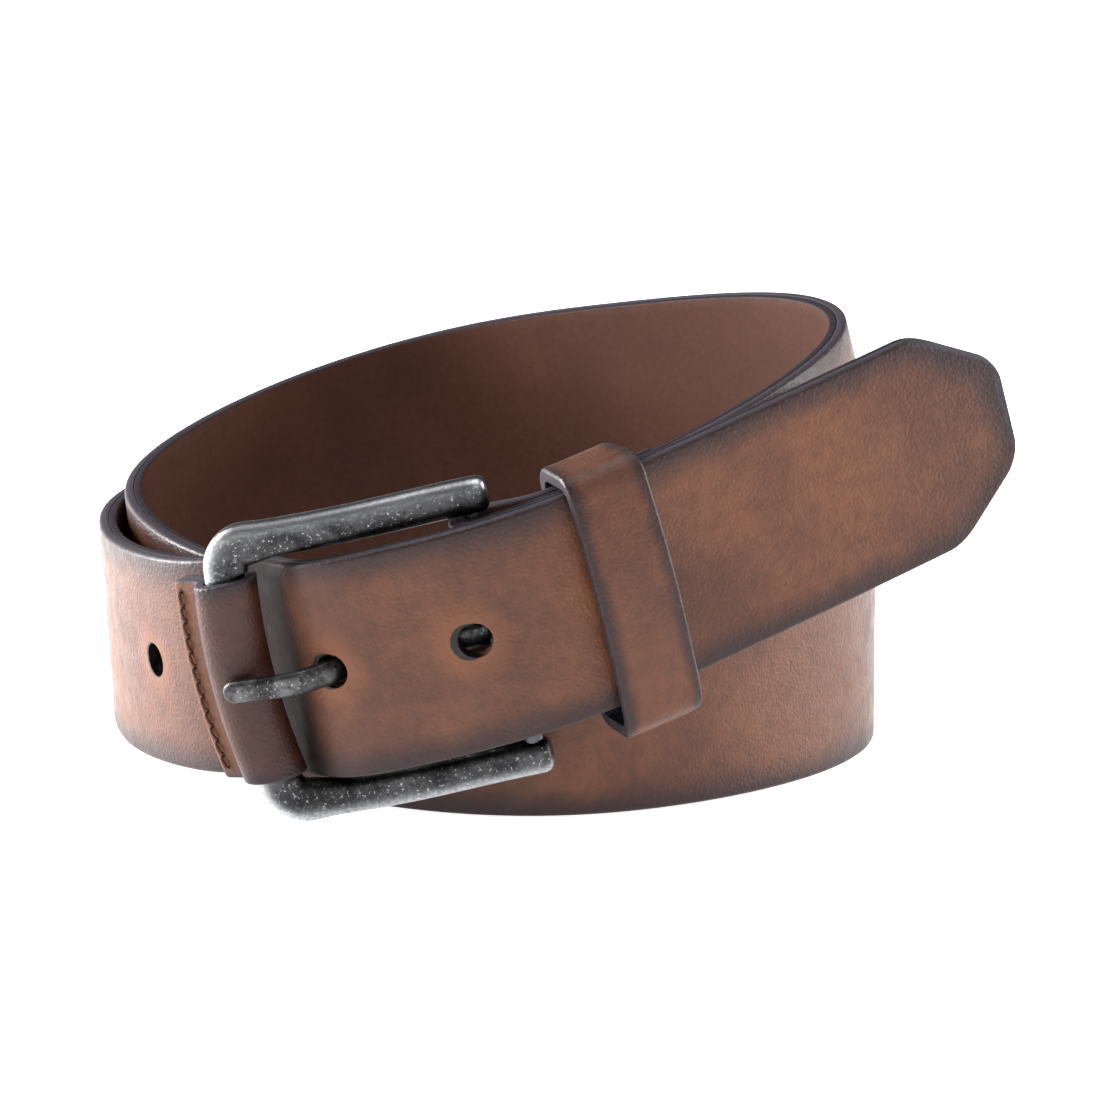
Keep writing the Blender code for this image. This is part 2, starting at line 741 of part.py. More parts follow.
def build_prong():
    look = material("gunmetal_prong", (0.18, 0.18, 0.185), 0.36, 1.0)
    line = curve_through(prong_bends(), 3)
    travelled = [0.0]
    for i in range(1, len(line)):
        travelled.append(travelled[-1] + float(np.linalg.norm(line[i] - line[i - 1])))
    total = travelled[-1]
    sections = []
    for i, point in enumerate(line):
        before = line[max(i - 1, 0)]
        after = line[min(i + 1, len(line) - 1)]
        way = unit(after - before)
        up_way = np.array([way[1], -way[0]])
        to_end = total - travelled[i]
        share = 1.0 + (PRONG_TIP_SHARE - 1.0) * travelled[i] / total
        nose = min(1.0, to_end / PRONG_END_ROUND)
        nose = max(PRONG_NOSE_SHARE, math.sqrt(1.0 - (1.0 - nose) ** 2))
        ring = []
        for j in range(SECTION_FACETS):
            across, up = oval_point(PRONG_WIDTH / 2.0 * share * nose, PRONG_WIDTH / 2.0 * share * nose,
                                    PRONG_THICK / 2.0 * share * nose, j)
            spot = point + up_way * up
            ring.append(place(spot[0], PRONG_SIDE + across, spot[1]))
        sections.append(ring)
    verts, faces = loft(sections)
    made = make_object("prong", verts, faces, look)
    half = PRONG_WIDTH / 2.0
    combine(made, round_bar("eye", EYE_RADIUS + EYE_WALL, PRONG_SIDE - half, PRONG_SIDE + half), "UNION")
    combine(made, round_bar("eye_bore", EYE_RADIUS, PRONG_SIDE - PRONG_WIDTH,
                            PRONG_SIDE + PRONG_WIDTH), "DIFFERENCE")
    shade_smooth(made)
    return made


# ---------------------------------------------------------------- the sleeve

def sleeve_outline():
    """Outer and inner outlines of the sleeve about the bar centre, point for point."""
    inner_u = FRONT_BAR_WIDTH / 2.0 + SLEEVE_CLEARANCE
    inner_n = FRONT_BAR_THICK / 2.0 + SLEEVE_CLEARANCE
    outer_u = inner_u + SLEEVE_LEATHER
    outer_n = inner_n + SLEEVE_LEATHER
    flange = math.radians(FLANGE_ANGLE)
    way = np.array([math.cos(flange), math.sin(flange)])
    side = np.array([-way[1], way[0]])
    outer = []
    spread = math.radians(FLANGE_SPREAD)
    for i in range(SLEEVE_FACETS + 1):
        turn = flange + spread + (2.0 * math.pi - 2.0 * spread) * i / SLEEVE_FACETS
        outer.append(np.array([outer_u * math.cos(turn), outer_n * math.sin(turn)]))
    root = outer_n
    half = FLANGE_THICK / 2.0
    tip = root + FLANGE_LENGTH
    cut = FLANGE_CORNER
    for reach, off in ((root + FLANGE_ROOT, -half), (tip - cut, -half), (tip, -half + cut),
                       (tip, half - cut), (tip - cut, half), (root + FLANGE_ROOT, half)):
        outer.append(way * reach + side * off)
    inner = []
    for point in outer:
        turn = math.atan2(point[1] / inner_n, point[0] / inner_u)
        inner.append(np.array([squared(math.cos(turn)) * inner_u, squared(math.sin(turn)) * inner_n]))
    return outer, inner


def squared(value):
    return math.copysign(abs(value) ** (2.0 / FRAME_SQUARENESS), value)


def sleeve_place(u, v, n):
    """A point of the sleeve section carried onto the bowed front bar."""
    return place(u - FRONT_BAR_REACH + bow(v), v + BUCKLE_DROP, n + FRONT_BAR_LIFT)


def build_sleeve():
    look = material("sleeve_leather", (0.17, 0.065, 0.042), 0.42, 0.0)
    outline, hollow = sleeve_outline()
    outer = []
    inner = []
    rows = 14
    for i in range(rows + 1):
        v = SLEEVE_SHIFT + SLEEVE_LENGTH * (i / rows - 0.5)
        outer.append([sleeve_place(p[0], v, p[1]) for p in outline])
        inner.append([sleeve_place(p[0], v, p[1]) for p in hollow])
    verts, faces = sleeve_loft(outer, inner)
    made = make_object("bar_wrap", verts, faces, look)
    shade_smooth(made)
    return made


def thread_spot(v, face, sway):
    """A place just clear of the flange face, on its stitch line."""
    flange = math.radians(FLANGE_ANGLE)
    way = (math.cos(flange), math.sin(flange))
    side = (-way[1] * face, way[0] * face)
    reach = FRONT_BAR_THICK / 2.0 + SLEEVE_CLEARANCE + SLEEVE_LEATHER + FLANGE_LENGTH
    reach += sway - THREAD_INSET
    lift = FLANGE_THICK / 2.0 + THREAD_GAP + THREAD_RADIUS
    return sleeve_place(way[0] * reach + side[0] * lift, v, way[1] * reach + side[1] * lift)


def build_thread(name, face):
    look = material(name + "_cotton", (0.25, 0.09, 0.035), 0.7, 0.0)
    stitches = int((SLEEVE_LENGTH - 2.0) / STITCH_PITCH)
    span = stitches * STITCH_PITCH
    count = stitches * 4
    line = []
    for i in range(count + 1):
        v = SLEEVE_SHIFT - span / 2.0 + span * i / count
        line.append(thread_spot(v, face, STITCH_SWAY * math.sin(math.pi * i / 2.0)))
    verts, faces = loft(tube_sections(line, THREAD_RADIUS, 6))
    made = make_object(name, verts, faces, look)
    shade_smooth(made)
    return made


def tube_sections(line, radius, facets):
    sections = []
    last = len(line) - 1
    for i, point in enumerate(line):
        way = unit(line[min(i + 1, last)] - line[max(i - 1, 0)])
        side = unit(np.cross(way, OUT_OF_BUCKLE))
        up = np.cross(side, way)
        sections.append([point + radius * (side * math.cos(2.0 * math.pi * j / facets)
                                           + up * math.sin(2.0 * math.pi * j / facets))
                         for j in range(facets)])
    return sections


# ---------------------------------------------------------------- the keeper

KEEPER_AT = TOP_HEEL_AT + KEEPER_PLACE


def keeper_axes():
    """Origin in the top layer, as low as the keeper hangs, and the keeper's own directions."""
    out = PATH.outward(KEEPER_AT)
    wide = PATH.width_way(KEEPER_AT)
    ahead = unit(np.cross(wide, out))
    return PATH.middle(KEEPER_AT) - wide * KEEPER_DROP, ahead, wide, out


def keeper_hollow():
    """Inner outline across the strap (v) and out of it (n)."""
    half = HALF_WIDTH + KEEPER_SIDE_CLEARANCE
    front = STRAP_THICK / 2.0 + KEEPER_FRONT_CLEARANCE
    back = -(2.0 * LAYER + STRAP_THICK / 2.0 + KEEPER_BACK_CLEARANCE)
    points = []
    r = KEEPER_CORNER
    for i in range(9):
        v = (half - r) * (1.0 - i / 4.0)
        points.append((v, front + KEEPER_BULGE * (1.0 - (v / (half - r)) ** 2), 0.0, 1.0))
    for i in range(1, 6):
        turn = math.pi / 2.0 + math.pi / 2.0 * i / 5.0
        points.append((-(half - r) + r * math.cos(turn), front - r + r * math.sin(turn),
                       math.cos(turn), math.sin(turn)))
    for i in range(1, 6):
        turn = math.pi + math.pi / 2.0 * i / 5.0
        points.append((-(half - r) + r * math.cos(turn), back + r + r * math.sin(turn),
                       math.cos(turn), math.sin(turn)))
    for i in range(1, 6):
        points.append((-(half - r) + 2.0 * (half - r) * i / 5.0, back, 0.0, -1.0))
    for i in range(1, 6):
        turn = 1.5 * math.pi + math.pi / 2.0 * i / 5.0
        points.append((half - r + r * math.cos(turn), back + r + r * math.sin(turn),
                       math.cos(turn), math.sin(turn)))
    for i in range(1, 5):
        turn = math.pi / 2.0 * i / 5.0
        points.append((half - r + r * math.cos(turn), front - r + r * math.sin(turn),
                       math.cos(turn), math.sin(turn)))
    return points


def keeper_centre():
    """Centre and axis of the bend that the keeper follows round the coil."""
    here = PATH.middle(KEEPER_AT)
    a = PATH.middle(KEEPER_AT - KEEPER_WIDTH) - here
    b = PATH.middle(KEEPER_AT + KEEPER_WIDTH) - here
    normal = np.cross(a, b)
    offset = np.cross(np.dot(a, a) * b - np.dot(b, b) * a, normal) / (2.0 * np.dot(normal, normal))
    return here + offset, -unit(normal)


def swing(point, distance):
    """Carry a point of the keeper along the bend by a distance on the strap's middle."""
    centre, axis = keeper_centre()
    radius = float(np.linalg.norm(PATH.middle(KEEPER_AT) - centre))
    turn = Matrix.Rotation(distance / radius, 3, Vector(axis))
    return centre + np.array(turn @ Vector(point - centre))


def build_keeper():
    look = material("keeper_leather", (0.21, 0.088, 0.05), 0.42, 0.0)
    origin, _, wide, out = keeper_axes()
    outline = keeper_hollow()
    outer = []
    inner = []
    half = KEEPER_WIDTH / 2.0
    thin = KEEPER_LEATHER - KEEPER_EDGE
    for u, thick in ((-half, thin), (-half + KEEPER_EDGE, KEEPER_LEATHER), (0.0, KEEPER_LEATHER),
                     (half - KEEPER_EDGE, KEEPER_LEATHER), (half, thin)):
        outer.append([swing(origin + wide * (v + nv * thick) + out * (n + nn * thick), u)
                      for v, n, nv, nn in outline])
        inner.append([swing(origin + wide * v + out * n, u) for v, n, nv, nn in outline])
    verts, faces = sleeve_loft(outer, inner)
    made = make_object("keeper_loop", verts, faces, look)
    shade_smooth(made)
    return made


def build_staple():
    """Crown of the wire staple that closes the keeper at the back."""
    look = material("staple_wire", (0.35, 0.35, 0.36), 0.35, 1.0)
    origin, ahead, wide, out = keeper_axes()
    back = 2.0 * LAYER + STRAP_THICK / 2.0 + KEEPER_BACK_CLEARANCE + KEEPER_LEATHER
    centre = origin - out * (back + STAPLE_GAP + STAPLE_RADIUS)
    half = STAPLE_LENGTH / 2.0
    sections = []
    for v, share in ((-half, STAPLE_END_SHARE), (-half + STAPLE_END, 1.0),
                     (half - STAPLE_END, 1.0), (half, STAPLE_END_SHARE)):
        ring = []
        for j in range(10):
            turn = 2.0 * math.pi * j / 10
            ring.append(centre + wide * v + STAPLE_RADIUS * share * (ahead * math.cos(turn)
                                                                     + out * math.sin(turn)))
        sections.append(ring)
    verts, faces = loft(sections)
    made = make_object("keeper_staple", verts, faces, look)
    shade_smooth(made)
    return made


def settle(objects):
    """Rest the belt on Z = 0 and centre its footprint on the origin."""
    spots = [v.co for made in objects for v in made.data.vertices]
    low = [min(spot[k] for spot in spots) for k in range(3)]
    high = [max(spot[k] for spot in spots) for k in range(3)]
    shift = Vector((-(low[0] + high[0]) / 2.0, -(low[1] + high[1]) / 2.0, -low[2]))
    for made in objects:
        for vertex in made.data.vertices:
            vertex.co += shift
    return shift


def hang_on(objects, centre):
    """Move the origin of moving pieces onto their joint axis."""
    for made in objects:
        for vertex in made.data.vertices:
            vertex.co -= centre
        made.location = centre


def main():
    clear_scene()
    strap = build_strap()
    buckle = [build_frame(), build_heel_bar(), build_sleeve(),
              build_thread("wrap_thread_front", -1.0), build_thread("wrap_thread_back", 1.0)]
    prong = build_prong()
    keeper = [build_keeper(), build_staple()]
    pieces = list(strap) + buckle + [prong] + keeper
    shift = settle(pieces)
    heel = Vector(place(0.0, BUCKLE_DROP, 0.0)) * MM + shift
    hang_on(buckle + [prong], heel)
    centre, _ = keeper_centre()
    hang_on(keeper, Vector(centre) * MM + shift)


main()
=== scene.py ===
"""Looks of a coiled, fastened leather belt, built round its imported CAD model.

Lengths are in millimetres and MM turns them into metres; the frame itself is in metres.
The strap's route repeats the CAD route, so every new piece lies where its CAD node does.
"""
import json
import math

import bmesh
import bpy
import numpy as np
from mathutils import Matrix, Vector
from mathutils.kdtree import KDTree


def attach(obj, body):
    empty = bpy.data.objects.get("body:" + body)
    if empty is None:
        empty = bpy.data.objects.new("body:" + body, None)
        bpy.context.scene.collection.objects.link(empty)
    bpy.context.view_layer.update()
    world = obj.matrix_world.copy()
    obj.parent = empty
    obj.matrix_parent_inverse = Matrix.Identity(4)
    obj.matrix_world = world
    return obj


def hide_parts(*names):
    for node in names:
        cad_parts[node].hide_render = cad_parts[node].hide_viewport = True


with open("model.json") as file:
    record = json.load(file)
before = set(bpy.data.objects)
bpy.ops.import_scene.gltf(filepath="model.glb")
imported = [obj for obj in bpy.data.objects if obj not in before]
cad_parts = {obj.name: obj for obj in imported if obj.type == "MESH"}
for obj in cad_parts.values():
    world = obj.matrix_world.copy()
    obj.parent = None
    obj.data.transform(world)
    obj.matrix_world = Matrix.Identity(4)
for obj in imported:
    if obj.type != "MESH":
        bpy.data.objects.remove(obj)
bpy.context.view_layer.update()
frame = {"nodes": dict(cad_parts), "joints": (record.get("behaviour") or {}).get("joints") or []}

MM = 0.001

# Strap, as in the CAD model.
STRAP_WIDTH = 38.0
GRAIN_PLY = 1.7
GLUE_LINE = 0.1
LINING_PLY = 1.4
STRAP_THICK = GRAIN_PLY + GLUE_LINE + LINING_PLY
LAYER_GAP = 0.3
LAYER = STRAP_THICK + LAYER_GAP
HALF_WIDTH = STRAP_WIDTH / 2.0
GRAIN_ROUND = 0.7
LINING_ROUND = 0.35
PLY_GROOVE = 0.12

# Looks stored on the strap, as distances in millimetres: the shadow where it dives behind
# the sleeve, the painted cut edge and the glue line.
SHADE_FROM = 7.5
SHADE_TO = 21.0
SHADE_BEHIND = 3.0
EDGE_PAINT = 0.42
GLUE_PAINT = 0.6
GLUE_PAINT_WITHIN = 0.8
NO_HOLE = 20.0

# Fineness of the strap: stations along it, columns across each ply, steps of an eased edge.
HEADING_STEP = 0.8
TAIL_BEARING_STEP = 0.8
FINE_BEARING = 585.0
FINE_STEP = 0.8
COARSE_STEP = 1.5
TIP_STATIONS = 24
TIP_END_STATIONS = 10
FOLD_STATIONS = 28
BEND_STATIONS = 24
BEND_LENGTH = 12.0
GRAIN_COLUMNS = 30
LINING_COLUMNS = 20
OUTER_EDGE_STEPS = 4
INNER_EDGE_STEPS = 3
HOLE_FACETS = 48
HOLE_CUT_PAST = 0.2
SLOT_CUT_PAST = 0.12
STRAP_SHARP = 35.0
PIECE_SHARP = 50.0
THREAD_SHARP = 60.0

# Coil seen from above, as in the CAD model.
RING_RADIUS = 69.0
RING_OVAL = 0.071
RING_OVAL_AT = -51.0
RING_EGG = 0.037
RING_EGG_AT = 8.0
RING_SQUARE = 0.021
RING_SQUARE_AT = 12.7
# bearing round the coil, whole strap layers inwards, extra millimetres outwards
COIL_STEPS = (
    (-115.0, 1.0, -0.2), (-40.0, 1.0, -0.2), (-14.0, 1.0, 6.0), (6.0, 1.0, -5.0),
    (30.0, 1.0, -2.4), (60.0, 1.0, 0.2), (100.0, 1.0, 0.2), (140.0, 1.0, -0.2),
    (190.0, 1.0, -0.9), (226.0, 2.0, -3.2), (246.0, 3.0, -5.6), (302.0, 3.0, -5.3),
    (332.0, 2.0, -0.9), (360.0, 2.0, -0.5), (420.0, 0.0, 3.7), (480.0, 0.0, 6.2),
    (515.0, 0.0, 4.4), (545.0, 0.0, -1.4), (600.0, 0.0, 0.0), (760.0, 0.0, 0.0),
)
STEP_BLEND = 41
HEEL_BEARING = -84.0
TURNS = 2
CREST_BEARING = 613.0
CREST_RISE = 2.0
CREST_SPREAD = 6.0
DIP_BEARING = 597.0
DIP_DROP = 3.4
DIP_SPREAD = 6.5
LEAVE_BEARING = 654.5
END_RADIUS = 870.0
END_LENGTH = 74.8

# Climb of the upper turn, as in the CAD model.
BUCKLE_LIFT = 1.1
LIFT_FROM = 480.0
LIFT_TO = 610.0
CLIMB_SIDE = 16.6
CLIMB_BACK = 4.3
END_CLIMB_SIDE = 17.4
END_CLIMB_BACK = 4.8
LEAN_SHARE = 0.80
LEVEL_FROM = 123.0
LEVEL_SIDE_TO = 205.0
LEVEL_BACK_TO = 301.0
RISE_SIDE_FROM = 458.0
RISE_BACK_FROM = 557.0
RISE_TO = 667.0
TABLE_BEARING = 380.0

# Tip, holes and folded end, as in the CAD model.
TIP_CLIP = 14.5
TIP_WIDTH = 18.1
TIP_ROUND = 3.0
HOLE_DIAMETER = 6.0
HOLE_PITCH = 25.4
HOLE_COUNT = 5
PRONG_HOLE = 3
PRONG_HOLE_BEFORE_LEAVE = 55.0
FOLD_LENGTH = 33.5
FOLD_CLOSE = 13.0
SKIVE_LENGTH = 12.0
SKIVE_LEFT = 0.35
SLOT_HALF = 3.7
SLOT_PAST_BAR = 6.0
SLOT_UNDER_BAR = 7.0

# Buckle, as in the CAD model.
BAR_RADIUS = 1.7
BAR_CLEARANCE = 0.25
BEND_RADIUS = BAR_RADIUS + BAR_CLEARANCE + STRAP_THICK / 2.0
BUCKLE_YAW = -8.0
BUCKLE_DROP = -1.0
FRAME_HEIGHT = 53.0
ARM_WIDTH = 6.2
ARM_THICK = 4.8
ARM_HEEL_THICK = 5.2
ARM_PAST_BAR = 2.6
ARM_ARCH = 1.5
FRONT_BAR_WIDTH = 6.8
FRONT_BAR_THICK = 4.6
FRONT_BAR_REACH = 45.6
FRONT_BAR_LIFT = 0.5
FRONT_BAR_BOW = 2.1
CORNER_RADIUS = 4.6
CORNER_WEB = 0.7
CORNER_EASE = 0.3
WEB_LENGTH = 6.5
FRAME_SQUARENESS = 2.8
# rounding of the arms' ends: distance in from the end, share of the full section
ARM_END = ((0.0, 0.42), (0.06, 0.58), (0.22, 0.72), (0.5, 0.84), (0.95, 0.93), (1.6, 0.985))
ARM_CENTRE = (FRAME_HEIGHT - ARM_WIDTH) / 2.0
FRONT_BLEND_FROM = 12.0
HEEL_BLEND_FROM = 9.0
FRAME_BLEND = 8.0
SPAN_SHARE = 0.985
ARM_STATIONS_FROM = 3.0
ARM_STATIONS = 34
CORNER_STATIONS = 16
BAR_STATIONS = 18
FRAME_FACETS = 36
SHOULDER_TURN = 140.0
SHOULDER_NARROW = 10
PRONG_WIDTH = 4.6
PRONG_THICK = 2.8
PRONG_TIP_SHARE = 0.86
PRONG_END_ROUND = 2.2
EYE_RADIUS = BAR_RADIUS + 0.2
EYE_WALL = 1.4
EYE_SOFT = 0.35
EYE_FACETS = 40
EYE_RUBBED = 0.1
PRONG_PER_SPAN = 8
PRONG_STATIONS = 70
PRONG_NOSE_STATIONS = 12
PRONG_NOSE_TURN = 1.5
PRONG_NOSE_LEAST = 0.2
PRONG_FACETS = 28
PRONG_SQUARENESS = 2.6
PRONG_RUBBED = 0.7
PRONG_RUBBED_NARROW = 6
# distances over which the prong's heading is taken, and how near an end that changes
PRONG_HEADING = 0.4
PRONG_HEADING_BACK = 0.8
PRONG_HEADING_END = 0.5
# the prong's line, as distance left and height from its eye, its strap hole and the front bar
PRONG_FROM_EYE = ((2.4, 0.3), (8.0, 1.4), (16.0, 1.7), (22.5, 1.9))
PRONG_FROM_HOLE = ((-2.6, -2.3), (0.3, 0.1), (2.9, 2.5))
PRONG_FROM_BAR = ((-10.6, 3.5), (-6.1, 3.2), (-1.6, 2.2), (2.6, 1.2))

# Sleeve and keeper, as in the CAD model.
SLEEVE_LEATHER = 1.7
SLEEVE_CLEARANCE = 0.35
SLEEVE_LENGTH = 35.7
SLEEVE_SHIFT = -0.1
FLANGE_LENGTH = 6.4
FLANGE_THICK = 2.0 * SLEEVE_LEATHER
FLANGE_ANGLE = 214.0
STITCH_PITCH = 2.7
THREAD_INSET = 1.7
THREAD_RADIUS = 0.34
GROOVE_DARK = 0.3
SLEEVE_PAINT = 0.3
SLEEVE_SOFT = 0.5
SLEEVE_ROWS = 216
SLEEVE_FACETS = 60
FLANGE_SPREAD = 27.0
FLANGE_FROM = 4.0
STITCH_HALO = 2.6
STITCH_MARGIN = 2.0
# how a stitch sinks at its ends, stands up in its middle, and slants
STITCH_SUNK = 0.15
STITCH_CROWN = 0.55
STITCH_DIP = 0.35
STITCH_SWAY = 0.22
STITCH_GAP = 0.1
STITCH_STATIONS = 13
THREAD_FACETS = 10
THREAD_END_SHARE = 0.75
KEEPER_PLACE = 21.8
KEEPER_WIDTH = 13.5
KEEPER_LEATHER = 2.3
KEEPER_SIDE_CLEARANCE = 2.2
KEEPER_DROP = 1.5
KEEPER_FRONT_CLEARANCE = 0.9
KEEPER_BACK_CLEARANCE = 0.6
KEEPER_BULGE = 1.3
KEEPER_CORNER = 2.4
KEEPER_EDGE = 0.7
KEEPER_EDGE_STEPS = 5
KEEPER_INNER_EDGE = 0.15
KEEPER_PAINT_BELOW = 1.7
KEEPER_FRONT_STEPS = 24
KEEPER_CORNER_STEPS = 10
KEEPER_BACK_STEPS = 16
KEEPER_COLUMNS = 16

# Picture: the camera in millimetres and degrees, the floor and lights in metres and watts.
CAMERA_ELEVATION = 12.3
CAMERA_AZIMUTH = -1.49
CAMERA_DISTANCE = 1129.5
CAMERA_TARGET = (10.04, 16.74, 28.4)
CAMERA_LENS = 201.25
FLOOR_GLOW = 0.95
FLOOR_HALF = 4.0
WALL_HEIGHT = 0.6
FLOOR_BELOW = 0.0004
WORLD_GLOW = 0.12
SENSOR_WIDTH = 36.0
CLIP_END = 100.0
LIGHT_AIM = (0.0, 0.0, 0.04)
# name, place, width, height, power
LIGHTS = (
    ("left_wall", (-0.80, 0.20, 0.22), 0.40, 0.6, 30.0),
    ("right_wall", (0.80, 0.12, 0.30), 0.35, 0.6, 10.0),
    ("overhead", (0.05, 0.0, 0.95), 0.9, 0.6, 6.0),
    ("front", (0.30, -0.90, 0.60), 0.3, 0.3, 1.9),
)


def smooth(value):
    value = np.clip(value, 0.0, 1.0)
    return value * value * value * (value * (6.0 * value - 15.0) + 10.0)


def unit(vector):
    return vector / np.linalg.norm(vector, axis=-1, keepdims=True)


# ---------------------------------------------------------------- the strap's route

def ring_point(bearing):
    turn = math.radians(bearing)
    oval = RING_OVAL * math.cos(2.0 * (turn - math.radians(RING_OVAL_AT)))
    egg = RING_EGG * math.cos(3.0 * (turn - math.radians(RING_EGG_AT)))
    square = RING_SQUARE * math.cos(4.0 * (turn - math.radians(RING_SQUARE_AT)))
    radius = RING_RADIUS * (1.0 + oval + egg + square)
    return np.array([radius * math.cos(turn), radius * math.sin(turn)])


def layer_offsets(grid):
    """Distance of the strap outside the ring at each whole bearing of the grid."""
    places = [step[0] for step in COIL_STEPS]
    values = [step[2] - step[1] * LAYER for step in COIL_STEPS]
    offsets = np.interp(grid, places, values)
    kernel = np.ones(STEP_BLEND) / STEP_BLEND
    for _ in range(2):
        padded = np.pad(offsets, STEP_BLEND // 2, mode="edge")
        offsets = np.convolve(padded, kernel, "valid")
    crest = CREST_RISE * np.exp(-0.5 * ((grid - CREST_BEARING) / CREST_SPREAD) ** 2)
    dip = DIP_DROP * np.exp(-0.5 * ((grid - DIP_BEARING) / DIP_SPREAD) ** 2)
    return offsets + crest - dip


def climb_angles(bearings):
    """Side and back climb of the strap plane, in radians, along the coil."""
    side_down = smooth((bearings - LEVEL_FROM) / (LEVEL_SIDE_TO - LEVEL_FROM))
    back_down = smooth((bearings - LEVEL_FROM) / (LEVEL_BACK_TO - LEVEL_FROM))
    side_up = smooth((bearings - RISE_SIDE_FROM) / (RISE_TO - RISE_SIDE_FROM))
    back_up = smooth((bearings - RISE_BACK_FROM) / (RISE_TO - RISE_BACK_FROM))
    side = CLIMB_SIDE * (1.0 - side_down) + END_CLIMB_SIDE * side_up
    back = CLIMB_BACK * (1.0 - back_down) + END_CLIMB_BACK * back_up
    return np.radians(side), np.radians(back)


def raised_share(bearings):
    """How far each place belongs to the upper turn, from 0 to 1."""
    down = smooth((bearings - LEVEL_FROM) / (LEVEL_BACK_TO - LEVEL_FROM))
    up = smooth((bearings - LIFT_FROM) / (LIFT_TO - LIFT_FROM))
    return 1.0 - down + up


def upright(side, back):
    return np.stack([-np.sin(side) * np.cos(back), -np.sin(back),
                     np.cos(side) * np.cos(back)], -1)


def coil_plan():
    """Plan points and bearings of the strap from the heel bar to the tip."""
    grid = np.arange(-200.0, 801.0, 1.0)
    offsets = layer_offsets(grid)
    bearings = np.append(np.arange(HEEL_BEARING - 10.0, LEAVE_BEARING, 1.0), LEAVE_BEARING)
    points = []
    for bearing in bearings:
        ahead = unit(ring_point(bearing + 0.5) - ring_point(bearing - 0.5))
        outward = np.array([ahead[1], -ahead[0]])
        points.append(ring_point(bearing) + outward * np.interp(bearing, grid, offsets))
    heading = math.atan2(*(points[-1] - points[-2])[::-1])
    steps = int(END_LENGTH)
    for i in range(steps + 3):
        turn = heading + (i + 0.5) / END_RADIUS
        points.append(points[-1] + np.array([math.cos(turn), math.sin(turn)]))
    tail = LEAVE_BEARING + TAIL_BEARING_STEP * np.arange(1, steps + 4)
    return np.array(points), np.append(bearings, tail)


class Route:
    """The strap's lower edge, its width direction and its outward direction by length."""

    def __init__(self):
        plan, bearings = coil_plan()
        side, back = climb_angles(bearings)
        plane = upright(side, back)
        step = np.diff(plan, axis=0)
        mid = (plane[1:] + plane[:-1]) / 2.0
        rise = -(mid[:, 0] * step[:, 0] + mid[:, 1] * step[:, 1]) / mid[:, 2]
        height = np.concatenate([[0.0], np.cumsum(rise)])
        height -= np.interp(TABLE_BEARING, bearings, height)
        height = np.maximum(height, 0.0) + BUCKLE_LIFT * raised_share(bearings)
        self.points = np.column_stack([plan, height])
        self.wide = upright(side * LEAN_SHARE, back)
        length = np.linalg.norm(np.diff(self.points, axis=0), axis=1)
        self.length = np.concatenate([[0.0], np.cumsum(length)])
        self.length -= np.interp(HEEL_BEARING, bearings, self.length)
        self.bearings = bearings

    def at_bearing(self, bearing):
        return float(np.interp(bearing, self.bearings, self.length))

    def read(self, table, length):
        return np.stack([np.interp(length, self.length, table[:, k]) for k in range(3)], -1)

    def edge(self, length):
        return self.read(self.points, length)

    def width_way(self, length):
        return unit(self.read(self.wide, length))

    def along(self, length):
        return unit(self.edge(length + HEADING_STEP) - self.edge(length - HEADING_STEP))

    def outward(self, length):
        return unit(np.cross(self.along(length), self.width_way(length)))

    def middle(self, length):
        return self.edge(length) + self.width_way(length) * HALF_WIDTH


ROUTE = Route()
LEAVE_AT = ROUTE.at_bearing(LEAVE_BEARING)
STRAP_END = LEAVE_AT + END_LENGTH
PRONG_HOLE_AT = LEAVE_AT - PRONG_HOLE_BEFORE_LEAVE
TOP_HEEL_AT = ROUTE.at_bearing(HEEL_BEARING + 360.0 * TURNS)
KEEPER_AT = TOP_HEEL_AT + KEEPER_PLACE
HOLES = [PRONG_HOLE_AT + HOLE_PITCH * (PRONG_HOLE - number)
         for number in range(1, HOLE_COUNT + 1)]


def buckle_axes():
    """Origin on the heel bar and the buckle's own u, v, n directions."""
    out = ROUTE.outward(0.0)
    wide = ROUTE.width_way(0.0)
    origin = ROUTE.middle(0.0) - out * BEND_RADIUS
    turn = Matrix.Rotation(math.radians(BUCKLE_YAW), 3, Vector(wide))
    facing = np.array(turn @ Vector(out))
    return origin, unit(np.cross(wide, facing)), wide, facing


HEEL, ALONG_BUCKLE, UP_BUCKLE, OUT_OF_BUCKLE = buckle_axes()
TO_PRONG_HOLE = ROUTE.middle(PRONG_HOLE_AT) - HEEL
PRONG_SIDE = float(np.dot(TO_PRONG_HOLE, UP_BUCKLE))


def place(u, v, n):
    return HEEL + ALONG_BUCKLE * u + UP_BUCKLE * v + OUT_OF_BUCKLE * n


def joint(name):
    return next(j for j in frame["joints"] if j["name"] == name)


# The route's own frame and the CAD frame differ by one shift, read off the heel bar's hinge.
SHIFT = np.array(joint("buckle_swing")["pos_m"]) / MM - place(0.0, BUCKLE_DROP, 0.0)


# ---------------------------------------------------------------- mesh tools

def add_object(name, data):
    made = bpy.data.objects.new(name, data)
    bpy.context.scene.collection.objects.link(made)
    return made


def turn_towards(made, ahead):
    """Point a light or camera along a direction, with its top up."""
    made.rotation_mode = "QUATERNION"
    made.rotation_quaternion = ahead.to_track_quat("-Z", "Y")


